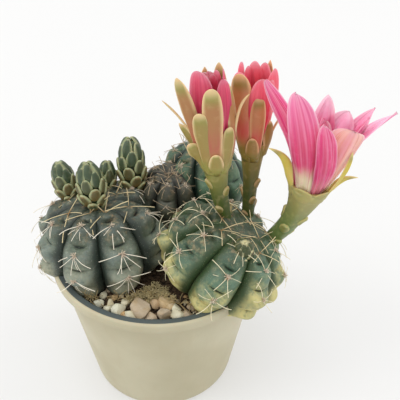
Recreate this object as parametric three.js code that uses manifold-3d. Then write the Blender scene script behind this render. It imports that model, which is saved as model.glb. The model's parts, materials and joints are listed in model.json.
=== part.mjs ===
// A clustering chin cactus (Gymnocalycium) in flower, in its round plastic nursery pot.
//
// Units are millimetres and +Z is up. The origin is the middle of the pot's foot.
// -Y is the front, where the two big heads stand side by side, and the open flower
// leans out towards +X.

import * as THREE from 'three';
import { mergeVertices } from 'three/addons/utils/BufferGeometryUtils.js';
import Module from 'manifold-3d';

const wasm = await Module();
wasm.setup();

// ---------------------------------------------------------------- driving dimensions

const gap = 0.3; // left between pieces that touch

const pot = {
  rimRadius: 33,
  height: 48,
  wallTopRadius: 30.9,
  footRadius: 23.6,
  wall: 1.2,
  lipHeight: 3.2,
  footRound: 1.6,
  floor: 1.6,
  sides: 32,
  holes: 5,
  holeRadius: 2.4,
  holeCircle: 15,
};

const soil = { top: 43.6, lump: 0.35, sides: 24, rings: 3 };

// Pebbles lie on the soil in two bands between the heads and the wall of the pot.
const gravelBands = [
  { name: 'gravel_front', from: -128, to: -52, rows: [25.8, 21.4], seed: 7 },
  { name: 'gravel_back', from: 98, to: 164, rows: [26, 22], seed: 19 },
];
const pebble = { smallest: 2.3, largest: 3.3, flatness: 0.8, pitch: 4.4 };

// Each head is a flattened globe that leans out of the cluster. A rib is given by the
// way it faces and by the angle from the crown down to its first areole, in degrees.
const heads = [
  {
    name: 'head_left',
    centre: [-16.8, -2, 52.4],
    radius: 19.5,
    up: 14.8,
    low: 14.6,
    lean: 3,
    leanTo: 180,
    ribs: [[-150, 44], [-106, 33], [-63, 35], [-12, 45], [36, 34], [80, 45], [124, 33], [168, 45]],
    areoleStep: 27,
    areoles: 3,
    spines: 4,
    spineLength: 6.3,
    seed: 3,
    color: '#66756b',
  },
  {
    name: 'head_right',
    centre: [18.6, -10.5, 52.4],
    radius: 18.9,
    up: 14,
    low: 13,
    lean: 28,
    leanTo: 0,
    ribs: [
      [-182, 40], [-147, 45], [-100, 31], [-58, 45], [-18, 33], [22, 45], [60, 33], [100, 45],
      [140, 33],
    ],
    areoleStep: 28,
    areoles: 3,
    spines: 4,
    spineLength: 6.8,
    seed: 5,
    color: '#6c8458',
  },
  {
    name: 'head_middle',
    centre: [2.2, 10.5, 58.8],
    radius: 9.4,
    up: 11.5,
    low: 15,
    lean: 10,
    leanTo: -80,
    ribs: [[-148, 40], [-92, 30], [-36, 40], [26, 30], [88, 40], [150, 30]],
    areoleStep: 36,
    areoles: 1,
    spines: 3,
    spineLength: 5,
    seed: 11,
    color: '#5d5f58',
  },
  {
    name: 'head_back',
    centre: [12.5, 18.5, 59],
    radius: 14.5,
    up: 14.5,
    low: 16.5,
    lean: 10,
    leanTo: 110,
    ribs: [
      [-165, 33], [-122, 47], [-78, 33], [-34, 47], [10, 33], [55, 47], [100, 33], [146, 47],
    ],
    areoleStep: 34,
    areoles: 1,
    spines: 3,
    spineLength: 5.5,
    seed: 13,
    color: '#3f6350',
  },
];
const rib = {
  depth: 0.25, // of the head's radius, at the widest place
  crease: 1.3, // depth of the fold above an areole
  creaseAbove: 7, // degrees from an areole up to its fold
  crownDimple: 2,
};
const spine = { radius: 0.36, sunk: 0.9, spread: 0.55, rise: 19 };

// Flowers stand on the areoles round the crown of the right head. Sepals and petals
// stand on a bell that opens from its foot, at the throat, to its mouth. A sepal is given
// by the way it faces, the height of its tip above the throat, its width, and how far
// its tip curls out from the bell. The petals that face `lowTowards` are shorter by `low`.
const flowers = [
  {
    name: 'flower_1',
    base: [18.4, -7.6, 62.5],
    throat: [15.8, -8.3, 86.5],
    up: [15, -8.6, 98],
    tubeRadius: [2.2, 2.7, 4.5],
    bell: { foot: 4.3, mouth: 7.4, bend: 0.8 },
    sepals: [
      [-98, 21, 5.4, 0], [-146, 14, 5.2, 0], [-34, 10.5, 3.8, 0], [176, 21.5, 4.8, 0.8],
      [84, 23.5, 4.4, 0], [28, 19, 4.4, 0], [-160, 4.5, 4, 1.2], [-90, 3.4, 4.4, 1],
    ],
    petals: { inner: 5, outer: 5, length: 22.5, width: 6, turn: -80, low: 0, lowTowards: 0 },
    seed: 23,
    color: '#a9a555',
  },
  {
    name: 'flower_2',
    base: [25.6, -1.6, 58.5],
    throat: [26.4, 1.8, 84.5],
    up: [26.2, 2.4, 96],
    tubeRadius: [2.1, 2.5, 4.1],
    bell: { foot: 4.2, mouth: 6.5, bend: 0.8 },
    sepals: [
      [-128, 22, 4.6, 0], [-72, 15.5, 4.4, 0], [-168, 10, 3.8, 0], [-16, 9, 4.2, 1],
      [100, 22.5, 4.2, 0], [20, 22, 4.2, 0], [-108, 4, 4, 1],
    ],
    petals: { inner: 5, outer: 5, length: 22.5, width: 5.4, turn: -70, low: 0, lowTowards: 0 },
    seed: 29,
    color: '#8f8a4a',
  },
  {
    name: 'flower_3',
    base: [32.6, -4, 54],
    throat: [41, -7.4, 75.6],
    up: [44.2, -8.6, 98],
    tubeRadius: [2.3, 2.9, 5.7],
    bell: { foot: 5.3, mouth: 19, bend: 1.1 },
    sepals: [
      [-170, 12.5, 4, 6.5], [-16, 5.5, 4.2, 5], [8, 12.5, 4.4, 0], [-112, 7, 6.4, 0],
      [-58, 4, 5.6, 0], [60, 12, 4.8, 0], [112, 13, 4.8, 0],
    ],
    petals: { inner: 6, outer: 8, length: 29, width: 8.8, turn: -98, low: 0.3, lowTowards: 70 },
    seed: 31,
    color: '#8aa04e',
  },
];
const blade = { thickness: 0.9, sepalFoot: -1.6, petalFoot: -3.4, ringInset: 1.05 };
const petalInset = 1.75; // from the sepals' bell in to the outer ring of petals
const petalPlug = { foot: -4, top: -2.6, sides: 10 }; // heights in the cup, from the throat
const scale = { count: 5, width: 3.4, height: 4.2, thickness: 1.5 }; // on a flower's tube

// The brush of stamens, from its foot up: the radius of a ridge, the radius of the hollow
// between two ridges, and the share of its height.
const brush = {
  sides: 10,
  height: 0.5, // of the petals' length
  outline: [
    [0.8, 0.8, 0], [0.6, 0.5, 0.25], [0.9, 0.6, 0.55], [1.4, 0.9, 0.7], [1.15, 0.6, 0.8],
    [0.45, 0.45, 0.82], [0.4, 0.4, 0.9], [0.85, 0.85, 0.96],
  ],
};

// Buds stand on the left head's crown, and one round bud on the right head.
const buds = [
  { base: [-26.6, 4, 61], tip: [-29, 4, 75], radius: 3.1, scales: 5, whorls: 4 },
  { base: [-18.2, -3, 63.6], tip: [-19.4, -2.6, 79.2], radius: 3.7, scales: 5, whorls: 4 },
  { base: [-8.4, 8.6, 60], tip: [-8.8, 9.8, 80.2], radius: 3.9, scales: 5, whorls: 5 },
  { base: [-16.2, 7.6, 61.4], tip: [-15.9, 8.8, 72.6], radius: 2.4, scales: 4, whorls: 3 },
  { base: [23.4, -17.6, 59], tip: [24, -20, 66.2], radius: 2.6, scales: 5, whorls: 2 },
];

const finish = {
  pot: { color: '#bdb8a4', roughness: 0.6 },
  soil: { color: '#3b2c20', roughness: 1 },
  gravel: { color: '#cbb496', roughness: 0.8 },
  petal: { color: '#e04c7c', roughness: 0.5 },
  stamen: { color: '#e8dd9a', roughness: 0.7 },
  bud: { color: '#5d6b3c', roughness: 0.6 },
  flesh: 0.55,
};

// ---------------------------------------------------------------- tools for solids

function seededRandom(seed) {
  let state = seed >>> 0;
  return () => {
    state = (state + 0x6d2b79f5) >>> 0;
    let t = state;
    t = Math.imul(t ^ (t >>> 15), t | 1);
    t ^= t + Math.imul(t ^ (t >>> 7), t | 61);
    return ((t ^ (t >>> 14)) >>> 0) / 4294967296;
  };
}

const vector = (list) => new THREE.Vector3(...list);
const radians = THREE.MathUtils.degToRad;
const mix = THREE.MathUtils.lerp;

// Makes a solid of points and triangles, and turns it right side out.
function solidOf(points, triangles) {
  let volume = 0;
  for (const [a, b, c] of triangles) {
    volume += points[a].dot(new THREE.Vector3().crossVectors(points[b], points[c]));
  }
  const order = volume < 0 ? ([a, b, c]) => [a, c, b] : (t) => t;
  return new wasm.Manifold(new wasm.Mesh({
    numProp: 3,
    vertProperties: new Float32Array(points.flatMap((p) => [p.x, p.y, p.z])),
    triVerts: new Uint32Array(triangles.flatMap(order)),
  }));
}

// Skins a row of rings that all have the same number of points, with a fan to a point
// at each end.
function loft(start, rings, end) {
  const sides = rings[0].length;
  const points = [start, ...rings.flat(), end];
  const last = points.length - 1;
  const at = (row, side) => 1 + row * sides + (side % sides);
  const triangles = [];
  for (let side = 0; side < sides; side += 1) {
    triangles.push([0, at(0, side + 1), at(0, side)]);
    for (let row = 0; row + 1 < rings.length; row += 1) {
      triangles.push([at(row, side), at(row, side + 1), at(row + 1, side)]);
      triangles.push([at(row, side + 1), at(row + 1, side + 1), at(row + 1, side)]);
    }
    triangles.push([at(rings.length - 1, side), at(rings.length - 1, side + 1), last]);
  }
  return solidOf(points, triangles);
}

// The points and triangles of a closed three.js geometry, with shared points merged.
function facets(geometry) {
  geometry.deleteAttribute('normal');
  geometry.deleteAttribute('uv');
  const merged = mergeVertices(geometry, 1e-4);
  const place = merged.getAttribute('position');
  const points = [];
  for (let i = 0; i < place.count; i += 1) {
    points.push(new THREE.Vector3().fromBufferAttribute(place, i));
  }
  const triangles = [];
  for (let i = 0; i < merged.index.count; i += 3) {
    const corners = [0, 1, 2].map((k) => merged.index.getX(i + k));
    if (new Set(corners).size === 3) triangles.push(corners);
  }
  return { points, triangles };
}

function solidFrom(geometry) {
  const { points, triangles } = facets(geometry);
  return solidOf(points, triangles);
}

const lathe = (profile, sides) => solidFrom(new THREE.LatheGeometry(
  profile.map(([radius, height]) => new THREE.Vector2(radius, height)),
  sides,
).rotateX(Math.PI / 2));

const joined = (solids) => wasm.Manifold.union(solids);

// The biggest body of a solid, without the scraps that a cut leaves.
function biggest(solid) {
  const bodies = solid.decompose();
  bodies.sort((a, b) => b.volume() - a.volume());
  return bodies[0];
}

function meshOf(name, solid, { color, roughness }) {
  const { vertProperties, triVerts, numProp } = solid.getMesh();
  const geometry = new THREE.BufferGeometry();
  const place = new Float32Array((vertProperties.length / numProp) * 3);
  for (let i = 0; i < place.length / 3; i += 1) {
    place.set(vertProperties.subarray(i * numProp, i * numProp + 3), i * 3);
  }
  geometry.setAttribute('position', new THREE.BufferAttribute(place, 3));
  geometry.setIndex(new THREE.BufferAttribute(new Uint32Array(triVerts), 1));
  geometry.computeVertexNormals();
  const mesh = new THREE.Mesh(geometry, new THREE.MeshStandardMaterial({ color, roughness }));
  mesh.name = name;
  return mesh;
}

// A place with three directions: z along `direction`, x as near to +X as it can be.
class Frame {
  constructor(origin, direction) {
    this.origin = origin.clone();
    this.z = direction.clone().normalize();
    this.x = new THREE.Vector3(0, 1, 0).cross(this.z).normalize();
    this.y = new THREE.Vector3().crossVectors(this.z, this.x);
  }

  point(x, y, z) {
    return this.origin.clone()
      .addScaledVector(this.x, x)
      .addScaledVector(this.y, y)
      .addScaledVector(this.z, z);
  }

  around(radius, turn, height) {
    return this.point(radius * Math.cos(turn), radius * Math.sin(turn), height);
  }

  local(point) {
    const offset = point.clone().sub(this.origin);
    return new THREE.Vector3(offset.dot(this.x), offset.dot(this.y), offset.dot(this.z));
  }
}

// A ring of points round the frame's z.
const circle = (frame, radius, height, sides) => Array.from({ length: sides }, (_, i) => (
  frame.around(radius, (i / sides) * 2 * Math.PI, height)));

// A low knob of `size` along the frame's three directions: two pyramids, base to base.
function knob(frame, size, sides) {
  const ring = Array.from({ length: sides }, (_, i) => {
    const turn = ((i + 0.5) / sides) * 2 * Math.PI;
    return frame.point(size[0] * Math.cos(turn), size[1] * Math.sin(turn), 0);
  });
  return loft(frame.point(0, 0, -size[2]), [ring], frame.point(0, 0, size[2]));
}

// A small ball of `size` along the frame's three directions, with twenty faces.
function ball(frame, size, jitter = () => 1) {
  const { points, triangles } = facets(new THREE.IcosahedronGeometry(1, 0));
  const placed = points.map((p) => {
    const k = jitter();
    return frame.point(p.x * size[0] * k, p.y * size[1] * k, p.z * size[2] * k);
  });
  return solidOf(placed, triangles);
}

// ---------------------------------------------------------------- pot, soil and gravel

// The outer radius of the pot's wall at a height.
function wallRadius(height) {
  const wallTop = pot.height - pot.lipHeight;
  return mix(pot.footRadius, pot.wallTopRadius, (height - pot.footRound) / (wallTop - pot.footRound));
}

// The pot's section, grown by `extra` on every side.
function potProfile(extra = 0) {
  const lipFoot = pot.height - pot.lipHeight - extra;
  const inner = (height) => wallRadius(height) - pot.wall - extra;
  const round = 0.6;
  return [
    [0, -extra],
    [pot.footRadius - pot.footRound + extra, -extra],
    [pot.footRadius - pot.footRound * 0.3 + extra, pot.footRound * 0.3 - extra],
    [pot.footRadius + extra, pot.footRound],
    [wallRadius(lipFoot) + extra, lipFoot],
    [pot.rimRadius - round + extra, lipFoot],
    [pot.rimRadius + extra, lipFoot + round],
    [pot.rimRadius + extra, pot.height - round],
    [pot.rimRadius - round + extra, pot.height + extra],
    [inner(pot.height) + round, pot.height + extra],
    [inner(pot.height), pot.height - round],
    [inner(pot.floor + 2), pot.floor + 2],
    [inner(pot.floor) - 1.2, pot.floor + extra],
    [0, pot.floor + extra],
  ];
}

function makePot() {
  let shell = lathe(potProfile(), pot.sides);
  for (let i = 0; i < pot.holes; i += 1) {
    const turn = (i / pot.holes) * 2 * Math.PI;
    const hole = new THREE.CylinderGeometry(pot.holeRadius, pot.holeRadius, 4 * pot.floor, 10);
    hole.rotateX(Math.PI / 2);
    hole.translate(pot.holeCircle * Math.cos(turn), pot.holeCircle * Math.sin(turn), pot.floor / 2);
    shell = shell.subtract(solidFrom(hole));
  }
  return shell;
}

// Peat that fills the pot to a few millimetres below the rim, with a lumpy top and a
// plain round hollow where each head stands.
function makeSoil(hollows) {
  const random = seededRandom(2);
  const side = (height) => wallRadius(height) - pot.wall - gap;
  const bottom = pot.floor + gap;
  const ring = (radius, height, lump) => Array.from({ length: soil.sides }, (_, i) => {
    const turn = (i / soil.sides) * 2 * Math.PI;
    const rise = height + (random() * 2 - 1) * lump;
    return new THREE.Vector3(radius * Math.cos(turn), radius * Math.sin(turn), rise);
  });
  const rings = [ring(side(bottom) - 1.4, bottom, 0), ring(side(bottom + 2), bottom + 2, 0)];
  rings.push(ring(side(soil.top) - 0.1, soil.top, soil.lump));
  for (let i = soil.rings - 1; i > 0; i -= 1) {
    rings.push(ring((side(soil.top) * i) / soil.rings, soil.top, soil.lump));
  }
  const body = loft(new THREE.Vector3(0, 0, bottom), rings, new THREE.Vector3(0, 0, soil.top));
  return biggest(body.subtract(joined(hollows)));
}

// Rounded stones in rows along the wall. Each touches the next, so a band holds together.
function makeGravel(band, hollows) {
  const random = seededRandom(band.seed);
  const stones = [];
  band.rows.forEach((radius, row) => {
    const step = THREE.MathUtils.radToDeg(pebble.pitch / radius);
    for (let turn = band.from + (row % 2) * step * 0.5; turn < band.to; turn += step) {
      const size = mix(pebble.smallest, pebble.largest, random());
      const away = Math.min(radius + random() - 0.5, 29 - size);
      const rise = soil.top + size * 0.62;
      const at = radians(turn + (random() - 0.5) * 2);
      const place = new THREE.Vector3(away * Math.cos(at), away * Math.sin(at), rise);
      const axis = new THREE.Vector3(random() - 0.5, random() - 0.5, 1.4);
      const frame = new Frame(place, axis);
      const stretch = 0.9 + 0.3 * random();
      const stoneSize = [size * stretch, size / stretch, size * pebble.flatness];
      stones.push(ball(frame, stoneSize.map((s) => s * 1.12), () => 0.88 + 0.24 * random()));
    }
  });
  const below = new THREE.BoxGeometry(100, 100, 20).translate(0, 0, soil.top + soil.lump + gap - 10);
  return biggest(joined(stones).subtract(solidFrom(below)).subtract(joined(hollows)));
}

// ---------------------------------------------------------------- heads

function headFrame(head) {
  const lean = radians(head.lean);
  const to = radians(head.leanTo);
  const axis = new THREE.Vector3(
    Math.sin(lean) * Math.cos(to),
    Math.sin(lean) * Math.sin(to),
    Math.cos(lean),
  );
  const turn = new THREE.Quaternion().setFromUnitVectors(new THREE.Vector3(0, 0, 1), axis);
  const frame = new Frame(vector(head.centre), axis);
  frame.x = new THREE.Vector3(1, 0, 0).applyQuaternion(turn);
  frame.y = new THREE.Vector3(0, 1, 0).applyQuaternion(turn);
  return frame;
}

// The smooth globe that touches a head's ribs, grown by `extra`. Its flat facets lie
// inside the true globe, so it is grown by their sagitta too.
function globe(head, extra) {
  const sides = 20;
  const rows = 8;
  const frame = headFrame(head);
  const grown = extra + head.radius * (1 - Math.cos(Math.PI / sides)) + 0.25;
  const rings = [];
  for (let row = 1; row < rows; row += 1) {
    const angle = (row / rows) * Math.PI;
    const half = angle < Math.PI / 2 ? head.up : head.low;
    const radius = (head.radius + grown) * Math.sin(angle);
    rings.push(circle(frame, radius, Math.cos(angle) * (half + grown), sides));
  }
  return loft(frame.point(0, 0, head.up + grown), rings, frame.point(0, 0, -head.low - grown));
}

function insideGlobe(head, point, margin) {
  const p = headFrame(head).local(point);
  const high = (p.z > 0 ? head.up : head.low) + margin;
  return (p.x ** 2 + p.y ** 2) / (head.radius + margin) ** 2 + (p.z / high) ** 2 < 1;
}

// How far the fold above an areole sinks the rib's ridge, from 0 to 1. `along` runs from
// one fold to the next: steep from the fold out to the areole, and then an easy slope.
function fold(along) {
  const areole = 0.26;
  if (along < areole) return 1 - along / areole;
  return Math.max(0, (along - 0.62) / 0.38) ** 2;
}

// A point of a head's skin. `across` is -1 and 1 in the furrows beside the rib and 0 on
// its ridge; `angle` is measured from the crown, in degrees.
function skin(head, frame, ribIndex, across, angle) {
  const count = head.ribs.length;
  const [here, first] = head.ribs[ribIndex];
  const nextIndex = (ribIndex + Math.sign(across) + count) % count;
  const wrap = ((head.ribs[nextIndex][0] - here) * Math.sign(across) + 720) % 360;
  const turn = radians(here + (across * wrap) / 2);
  const theta = radians(angle);
  const ridge = 1 - Math.min(1, Math.abs(across)) ** 2 * 0.97;
  const furrow = 1 - Math.sqrt(ridge);
  const step = head.areoleStep;
  const along = (((angle - first + rib.creaseAbove) / step) % 1 + 1) % 1;
  const centred = Math.max(0, 1 - (across / 0.75) ** 2);
  const inReach = angle > first - rib.creaseAbove - 2 && angle < 125 ? 1 : 0;
  const sunk = rib.crease * fold(along) * centred * inReach;
  const depth = rib.depth * Math.sin(theta) ** 0.5;
  const radius = head.radius * Math.sin(theta) * (1 - depth * furrow);
  const high = (angle < 90 ? head.up : head.low) * Math.cos(theta);
  const dimple = rib.crownDimple * Math.exp(-((theta / 0.3) ** 2));
  const point = frame.around(radius, turn, high - dimple);
  const outward = frame.around(Math.sin(theta), turn, Math.cos(theta)).sub(frame.origin);
  return point.addScaledVector(outward, -sunk);
}

// The rows of a rib's mesh follow its own areoles, so that each fold and each areole
// gets a row, and they run together in the furrows.
function makeFlesh(head) {
  const frame = headFrame(head);
  const across = [-0.5, 0, 0.5, 1];
  const step = head.areoleStep;
  const middle = head.ribs.reduce((sum, [, first]) => sum + first, 0) / head.ribs.length;
  const offsets = [-rib.creaseAbove, 0, step * 0.36, step * 0.58];
  const rows = [7, 16];
  for (let k = 0; k <= head.areoles; k += 1) {
    const seen = k < head.areoles ? offsets : offsets.slice(0, 2);
    seen.forEach((offset) => rows.push(middle + k * step + offset));
  }
  const wanted = rows.filter((angle) => angle < 128).concat([135, 155]);
  const rings = wanted.map((angle) => head.ribs.flatMap(([, first], ribIndex) => (
    across.map((a) => {
      const nextFirst = head.ribs[(ribIndex + 1) % head.ribs.length][1];
      const follows = a === 1 ? (first + nextFirst) / 2 : first;
      const shift = (follows - middle) * Math.min(1, Math.max(0, (angle - 10) / 15));
      const fade = 1 - Math.min(1, Math.max(0, (angle - 110) / 20));
      return skin(head, frame, ribIndex, a, angle + shift * fade);
    }))));
  const top = frame.point(0, 0, head.up - rib.crownDimple);
  const foot = frame.point(0, 0, -head.low);
  return loft(top, rings, foot);
}

// ---------------------------------------------------------------- spines

// The slim bodies of flowers and buds that spines keep clear of.
const stems = [
  ...flowers.map((f) => ({ a: vector(f.base), b: vector(f.throat), radius: f.tubeRadius[2] - 0.6 })),
  ...buds.map((b) => ({ a: vector(b.base), b: vector(b.tip), radius: b.radius + 0.4 })),
];
const placedSpines = [];

function distanceToSegment(point, a, b) {
  const line = new THREE.Line3(a, b);
  const nearest = line.closestPointToPoint(point, true, new THREE.Vector3());
  return nearest.distanceTo(point);
}

function distanceBetween(a, b, c, d) {
  let least = Infinity;
  for (let i = 0; i <= 12; i += 1) {
    least = Math.min(least, distanceToSegment(a.clone().lerp(b, i / 12), c, d));
  }
  return least;
}

// The height that spines keep above: that of the stones, or of the bare soil.
function groundBelow(point) {
  const facing = THREE.MathUtils.radToDeg(Math.atan2(point.y, point.x));
  const stony = gravelBands.some((band) => facing > band.from - 8 && facing < band.to + 8);
  return soil.top + (stony ? pebble.largest * 1.6 : 1.6);
}

// True where a spine from `root` to `tip` would cut another piece.
function isBlocked(head, root, tip) {
  for (const share of [0.35, 0.6, 0.8, 1]) {
    const point = root.clone().lerp(tip, share);
    const away = Math.hypot(point.x, point.y);
    if (point.z < groundBelow(point) && away < pot.rimRadius) return true;
    if (point.z < pot.height + 1 && away > 28 && away < pot.rimRadius + 1.2) return true;
    if (point.z < 2) return true;
    if (stems.some((s) => distanceToSegment(point, s.a, s.b) < s.radius + 0.9)) return true;
    if (heads.some((other) => other !== head && insideGlobe(other, point, 0.7))) return true;
  }
  return placedSpines.some((s) => s.head !== head && distanceBetween(root, tip, s.root, s.tip) < 1.3);
}

// A straight three-sided needle.
function needle(root, tip, radius) {
  const frame = new Frame(root, tip.clone().sub(root));
  const ring = [0, 1, 2].map((i) => frame.around(radius, (i * 2 * Math.PI) / 3, 0));
  return loft(root, [ring], tip);
}

// A fan of spines at an areole, pressed down along the rib. A spine that would cut
// another piece stands up more, or is shorter, or is left out.
function areoleSpines(head, areole, outward, down, random) {
  const needles = [];
  const sideways = new THREE.Vector3().crossVectors(outward, down);
  for (let i = 0; i < head.spines; i += 1) {
    const fan = head.spines > 1 ? (i / (head.spines - 1)) * 2 - 1 : 0;
    const turn = radians(fan * 95 + (random() - 0.5) * 22);
    const lying = down.clone()
      .multiplyScalar(Math.cos(turn))
      .addScaledVector(sideways, Math.sin(turn));
    const root = areole.clone()
      .addScaledVector(lying, spine.spread)
      .addScaledVector(outward, -spine.sunk);
    const length = head.spineLength * (0.82 + 0.36 * random());
    const tries = [[0, 1], [22, 1], [44, 0.9], [10, 0.7], [60, 0.75], [30, 0.6]];
    for (const [extra, share] of tries) {
      const rise = radians(spine.rise + extra);
      const tip = areole.clone()
        .addScaledVector(lying, spine.spread + Math.cos(rise) * length * share)
        .addScaledVector(outward, Math.sin(rise) * length * share);
      if (!isBlocked(head, root, tip)) {
        placedSpines.push({ head, root, tip });
        needles.push(needle(root, tip, spine.radius));
        break;
      }
    }
  }
  return needles;
}

function makeSpines(head) {
  const random = seededRandom(head.seed);
  const frame = headFrame(head);
  const needles = [];
  head.ribs.forEach(([, first], ribIndex) => {
    for (let k = 0; k <= head.areoles; k += 1) {
      const angle = first + k * head.areoleStep;
      const areole = skin(head, frame, ribIndex, 0, angle);
      if (angle > 108 || areole.z < soil.top + 2.4) continue;
      const below = skin(head, frame, ribIndex, 0, angle + 6);
      const down = below.sub(areole).normalize();
      const left = skin(head, frame, ribIndex, -0.15, angle);
      const across = skin(head, frame, ribIndex, 0.15, angle).sub(left);
      const outward = new THREE.Vector3().crossVectors(down, across).normalize();
      if (outward.dot(areole.clone().sub(frame.origin)) < 0) outward.negate();
      needles.push(...areoleSpines(head, areole, outward, down, random));
    }
  });
  return needles;
}

// ---------------------------------------------------------------- flowers and buds

// A fleshy blade on a bell: its middle line follows `meridian`, which gives a radius and
// a height for 0 to 1, and its edges lie on the bell. It is thickest along the middle.
function makeBlade(frame, turn, meridian, widthAt, stations) {
  const rings = stations.map((t) => {
    const [radius, height] = meridian(t);
    const [nextRadius, nextHeight] = meridian(t + 0.02);
    const slope = Math.atan2(nextHeight - height, nextRadius - radius);
    const half = widthAt(t) / 2 / radius;
    const face = (offset) => frame.around(
      radius + Math.sin(slope) * offset,
      turn,
      height - Math.cos(slope) * offset,
    );
    return [
      frame.around(radius, turn - half, height),
      face(blade.thickness / 2),
      frame.around(radius, turn + half, height),
      face(-blade.thickness / 2),
    ];
  });
  const [footRadius, footHeight] = meridian(0);
  const [tipRadius, tipHeight] = meridian(1);
  const foot = frame.around(footRadius, turn, footHeight - 0.2);
  return loft(foot, rings, frame.around(tipRadius, turn, tipHeight));
}

// A sepal keeps its width and ends blunt; a petal opens from a narrow foot and ends in a
// point. Each has its stations, from the foot at 0 to the tip at 1.
const blunt = {
  stations: [0, 0.35, 0.7, 0.94],
  width: (width) => (t) => width * Math.min(0.72 + 0.5 * t, 1) * Math.sqrt(1 - t ** 7),
};
const pointed = {
  stations: [0, 0.25, 0.5, 0.72, 0.9],
  width: (width) => (t) => width * Math.min(0.3 + 1.3 * t, 1) * (1 - t ** 2.6) ** 0.8,
};

// The bell that a flower's sepals stand on, moved in by `inset`, from one height to
// another. Past its middle a blade may leave the bell and curl out and down.
function bellMeridian(flower, from, to, inset, curl = 0) {
  const { foot, mouth, bend } = flower.bell;
  return (t) => {
    const height = mix(from, to, t);
    const share = Math.max(0, height / flower.petals.length);
    const away = curl * Math.max(0, (t - 0.4) / 0.6) ** 2;
    return [foot - inset + (mouth - foot) * share ** bend + away, height - away * 0.45];
  };
}

function throatFrame(flower) {
  return new Frame(vector(flower.throat), vector(flower.up).sub(vector(flower.throat)));
}

// The middle line of a flower's tube, which ends square to its throat.
function tubeCurve(flower) {
  const base = vector(flower.base);
  const throat = vector(flower.throat);
  const straight = base.distanceTo(throat) / 2;
  const bend = throat.clone().addScaledVector(throatFrame(flower).z, -straight);
  return new THREE.QuadraticBezierCurve3(base, bend, throat);
}

function tubeRadiusAt(flower, t) {
  const [low, middle, high] = flower.tubeRadius;
  return t < 0.5 ? mix(low, middle, t * 2) : mix(middle, high, (t * 2 - 1) ** 1.4);
}

// The plain tube, grown by `extra` on every side.
function tubeStem(flower, extra = 0) {
  const curve = tubeCurve(flower);
  const steps = 5;
  const rings = [];
  for (let i = 0; i <= steps; i += 1) {
    const t = i / steps;
    const frame = new Frame(curve.getPoint(t), curve.getTangent(t));
    const start = i === 0 ? -extra : 0;
    rings.push(circle(frame, tubeRadiusAt(flower, t) + extra, start, 10));
  }
  const foot = new Frame(curve.getPoint(0), curve.getTangent(0)).point(0, 0, -extra);
  return loft(foot, rings, throatFrame(flower).point(0, 0, 0.2 + extra));
}

// The green tube from the head up to the throat, hollow at the top, with its scales and
// the outer sepals that grow from its edge.
function makeTube(flower) {
  const random = seededRandom(flower.seed);
  const top = throatFrame(flower);
  const curve = tubeCurve(flower);
  const parts = [tubeStem(flower)];
  for (let i = 0; i < scale.count; i += 1) {
    const t = mix(0.2, 0.94, i / (scale.count - 1));
    const turn = i * 2.4 + random() * 0.3;
    const along = new Frame(curve.getPoint(t), curve.getTangent(t));
    const place = along.around(tubeRadiusAt(flower, t) - 0.1, turn, 0);
    const outward = along.around(1, turn, 0).sub(along.origin);
    const grow = mix(0.62, 1, t);
    const frame = new Frame(place, outward);
    frame.x = new THREE.Vector3().crossVectors(along.z, outward).normalize();
    frame.y = along.z.clone().addScaledVector(outward, 0.25).normalize();
    frame.z = new THREE.Vector3().crossVectors(frame.x, frame.y);
    const size = [scale.width / 2, scale.height / 2, scale.thickness / 2].map((s) => s * grow);
    parts.push(knob(frame, size, 6));
  }
  flower.sepals.forEach(([turn, height, width, curl]) => {
    const meridian = bellMeridian(flower, blade.sepalFoot, height, 0, curl);
    parts.push(makeBlade(top, radians(turn), meridian, blunt.width(width), blunt.stations));
  });
  return biggest(joined(parts).subtract(cupRoom(flower)));
}

// The hollow in a flower's throat that its petals stand in.
function cupRoom(flower) {
  const frame = throatFrame(flower);
  const room = petalInset - blade.thickness / 2 - gap;
  const bottom = petalPlug.foot - gap;
  const top = 3;
  const slack = 1.5; // the cup is as wide as the bell is this much further up
  const rings = [bottom, 0, top].map((height) => {
    const further = Math.max(0, height) + (height < 0 ? 0 : slack);
    return circle(frame, bellMeridian(flower, further, further, room)(0)[0], height, 14);
  });
  return loft(frame.point(0, 0, bottom), rings, frame.point(0, 0, top));
}

// Two rings of petals on a small plug that sits in the cup of the tube.
function makePetals(flower) {
  const random = seededRandom(flower.seed + 1);
  const frame = throatFrame(flower);
  const { inner, outer, length, width, turn, low, lowTowards } = flower.petals;
  const plug = loft(
    frame.point(0, 0, petalPlug.foot),
    [petalPlug.foot, petalPlug.top].map((height) => (
      circle(frame, flower.bell.foot - petalInset, height, petalPlug.sides))),
    frame.point(0, 0, petalPlug.top),
  );
  const parts = [plug];
  const addRing = (count, inset, share, shift) => {
    for (let i = 0; i < count; i += 1) {
      const at = radians(turn + ((i + shift) / count) * 360 + (random() - 0.5) * 2);
      const facing = (1 + Math.cos(at - radians(lowTowards))) / 2;
      const tall = length * share * (0.94 + 0.09 * random()) * (1 - low * facing ** 2);
      const meridian = bellMeridian(flower, blade.petalFoot, tall, inset);
      const room = (t) => (0.9 * 2 * Math.PI * meridian(t)[0]) / count;
      const widthAt = (t) => Math.min(pointed.width(width)(t), room(t));
      parts.push(makeBlade(frame, at, meridian, widthAt, pointed.stations));
    }
  };
  addRing(outer, petalInset, 1, 0);
  addRing(inner, petalInset + blade.ringInset, 0.93, 0.5);
  return biggest(joined(parts));
}

// The style in a brush of stamens, whose anthers make a ragged ring below its tip.
function makeStamens(flower) {
  const frame = throatFrame(flower);
  const foot = petalPlug.top + gap;
  const tall = flower.petals.length * brush.height;
  const rings = brush.outline.map(([ridge, hollow, share]) => (
    Array.from({ length: brush.sides }, (_, s) => {
      const turn = (s / brush.sides) * 2 * Math.PI;
      return frame.around(s % 2 ? hollow : ridge, turn, mix(foot, tall, share));
    })));
  return loft(frame.point(0, 0, foot), rings, frame.point(0, 0, tall));
}

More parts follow.
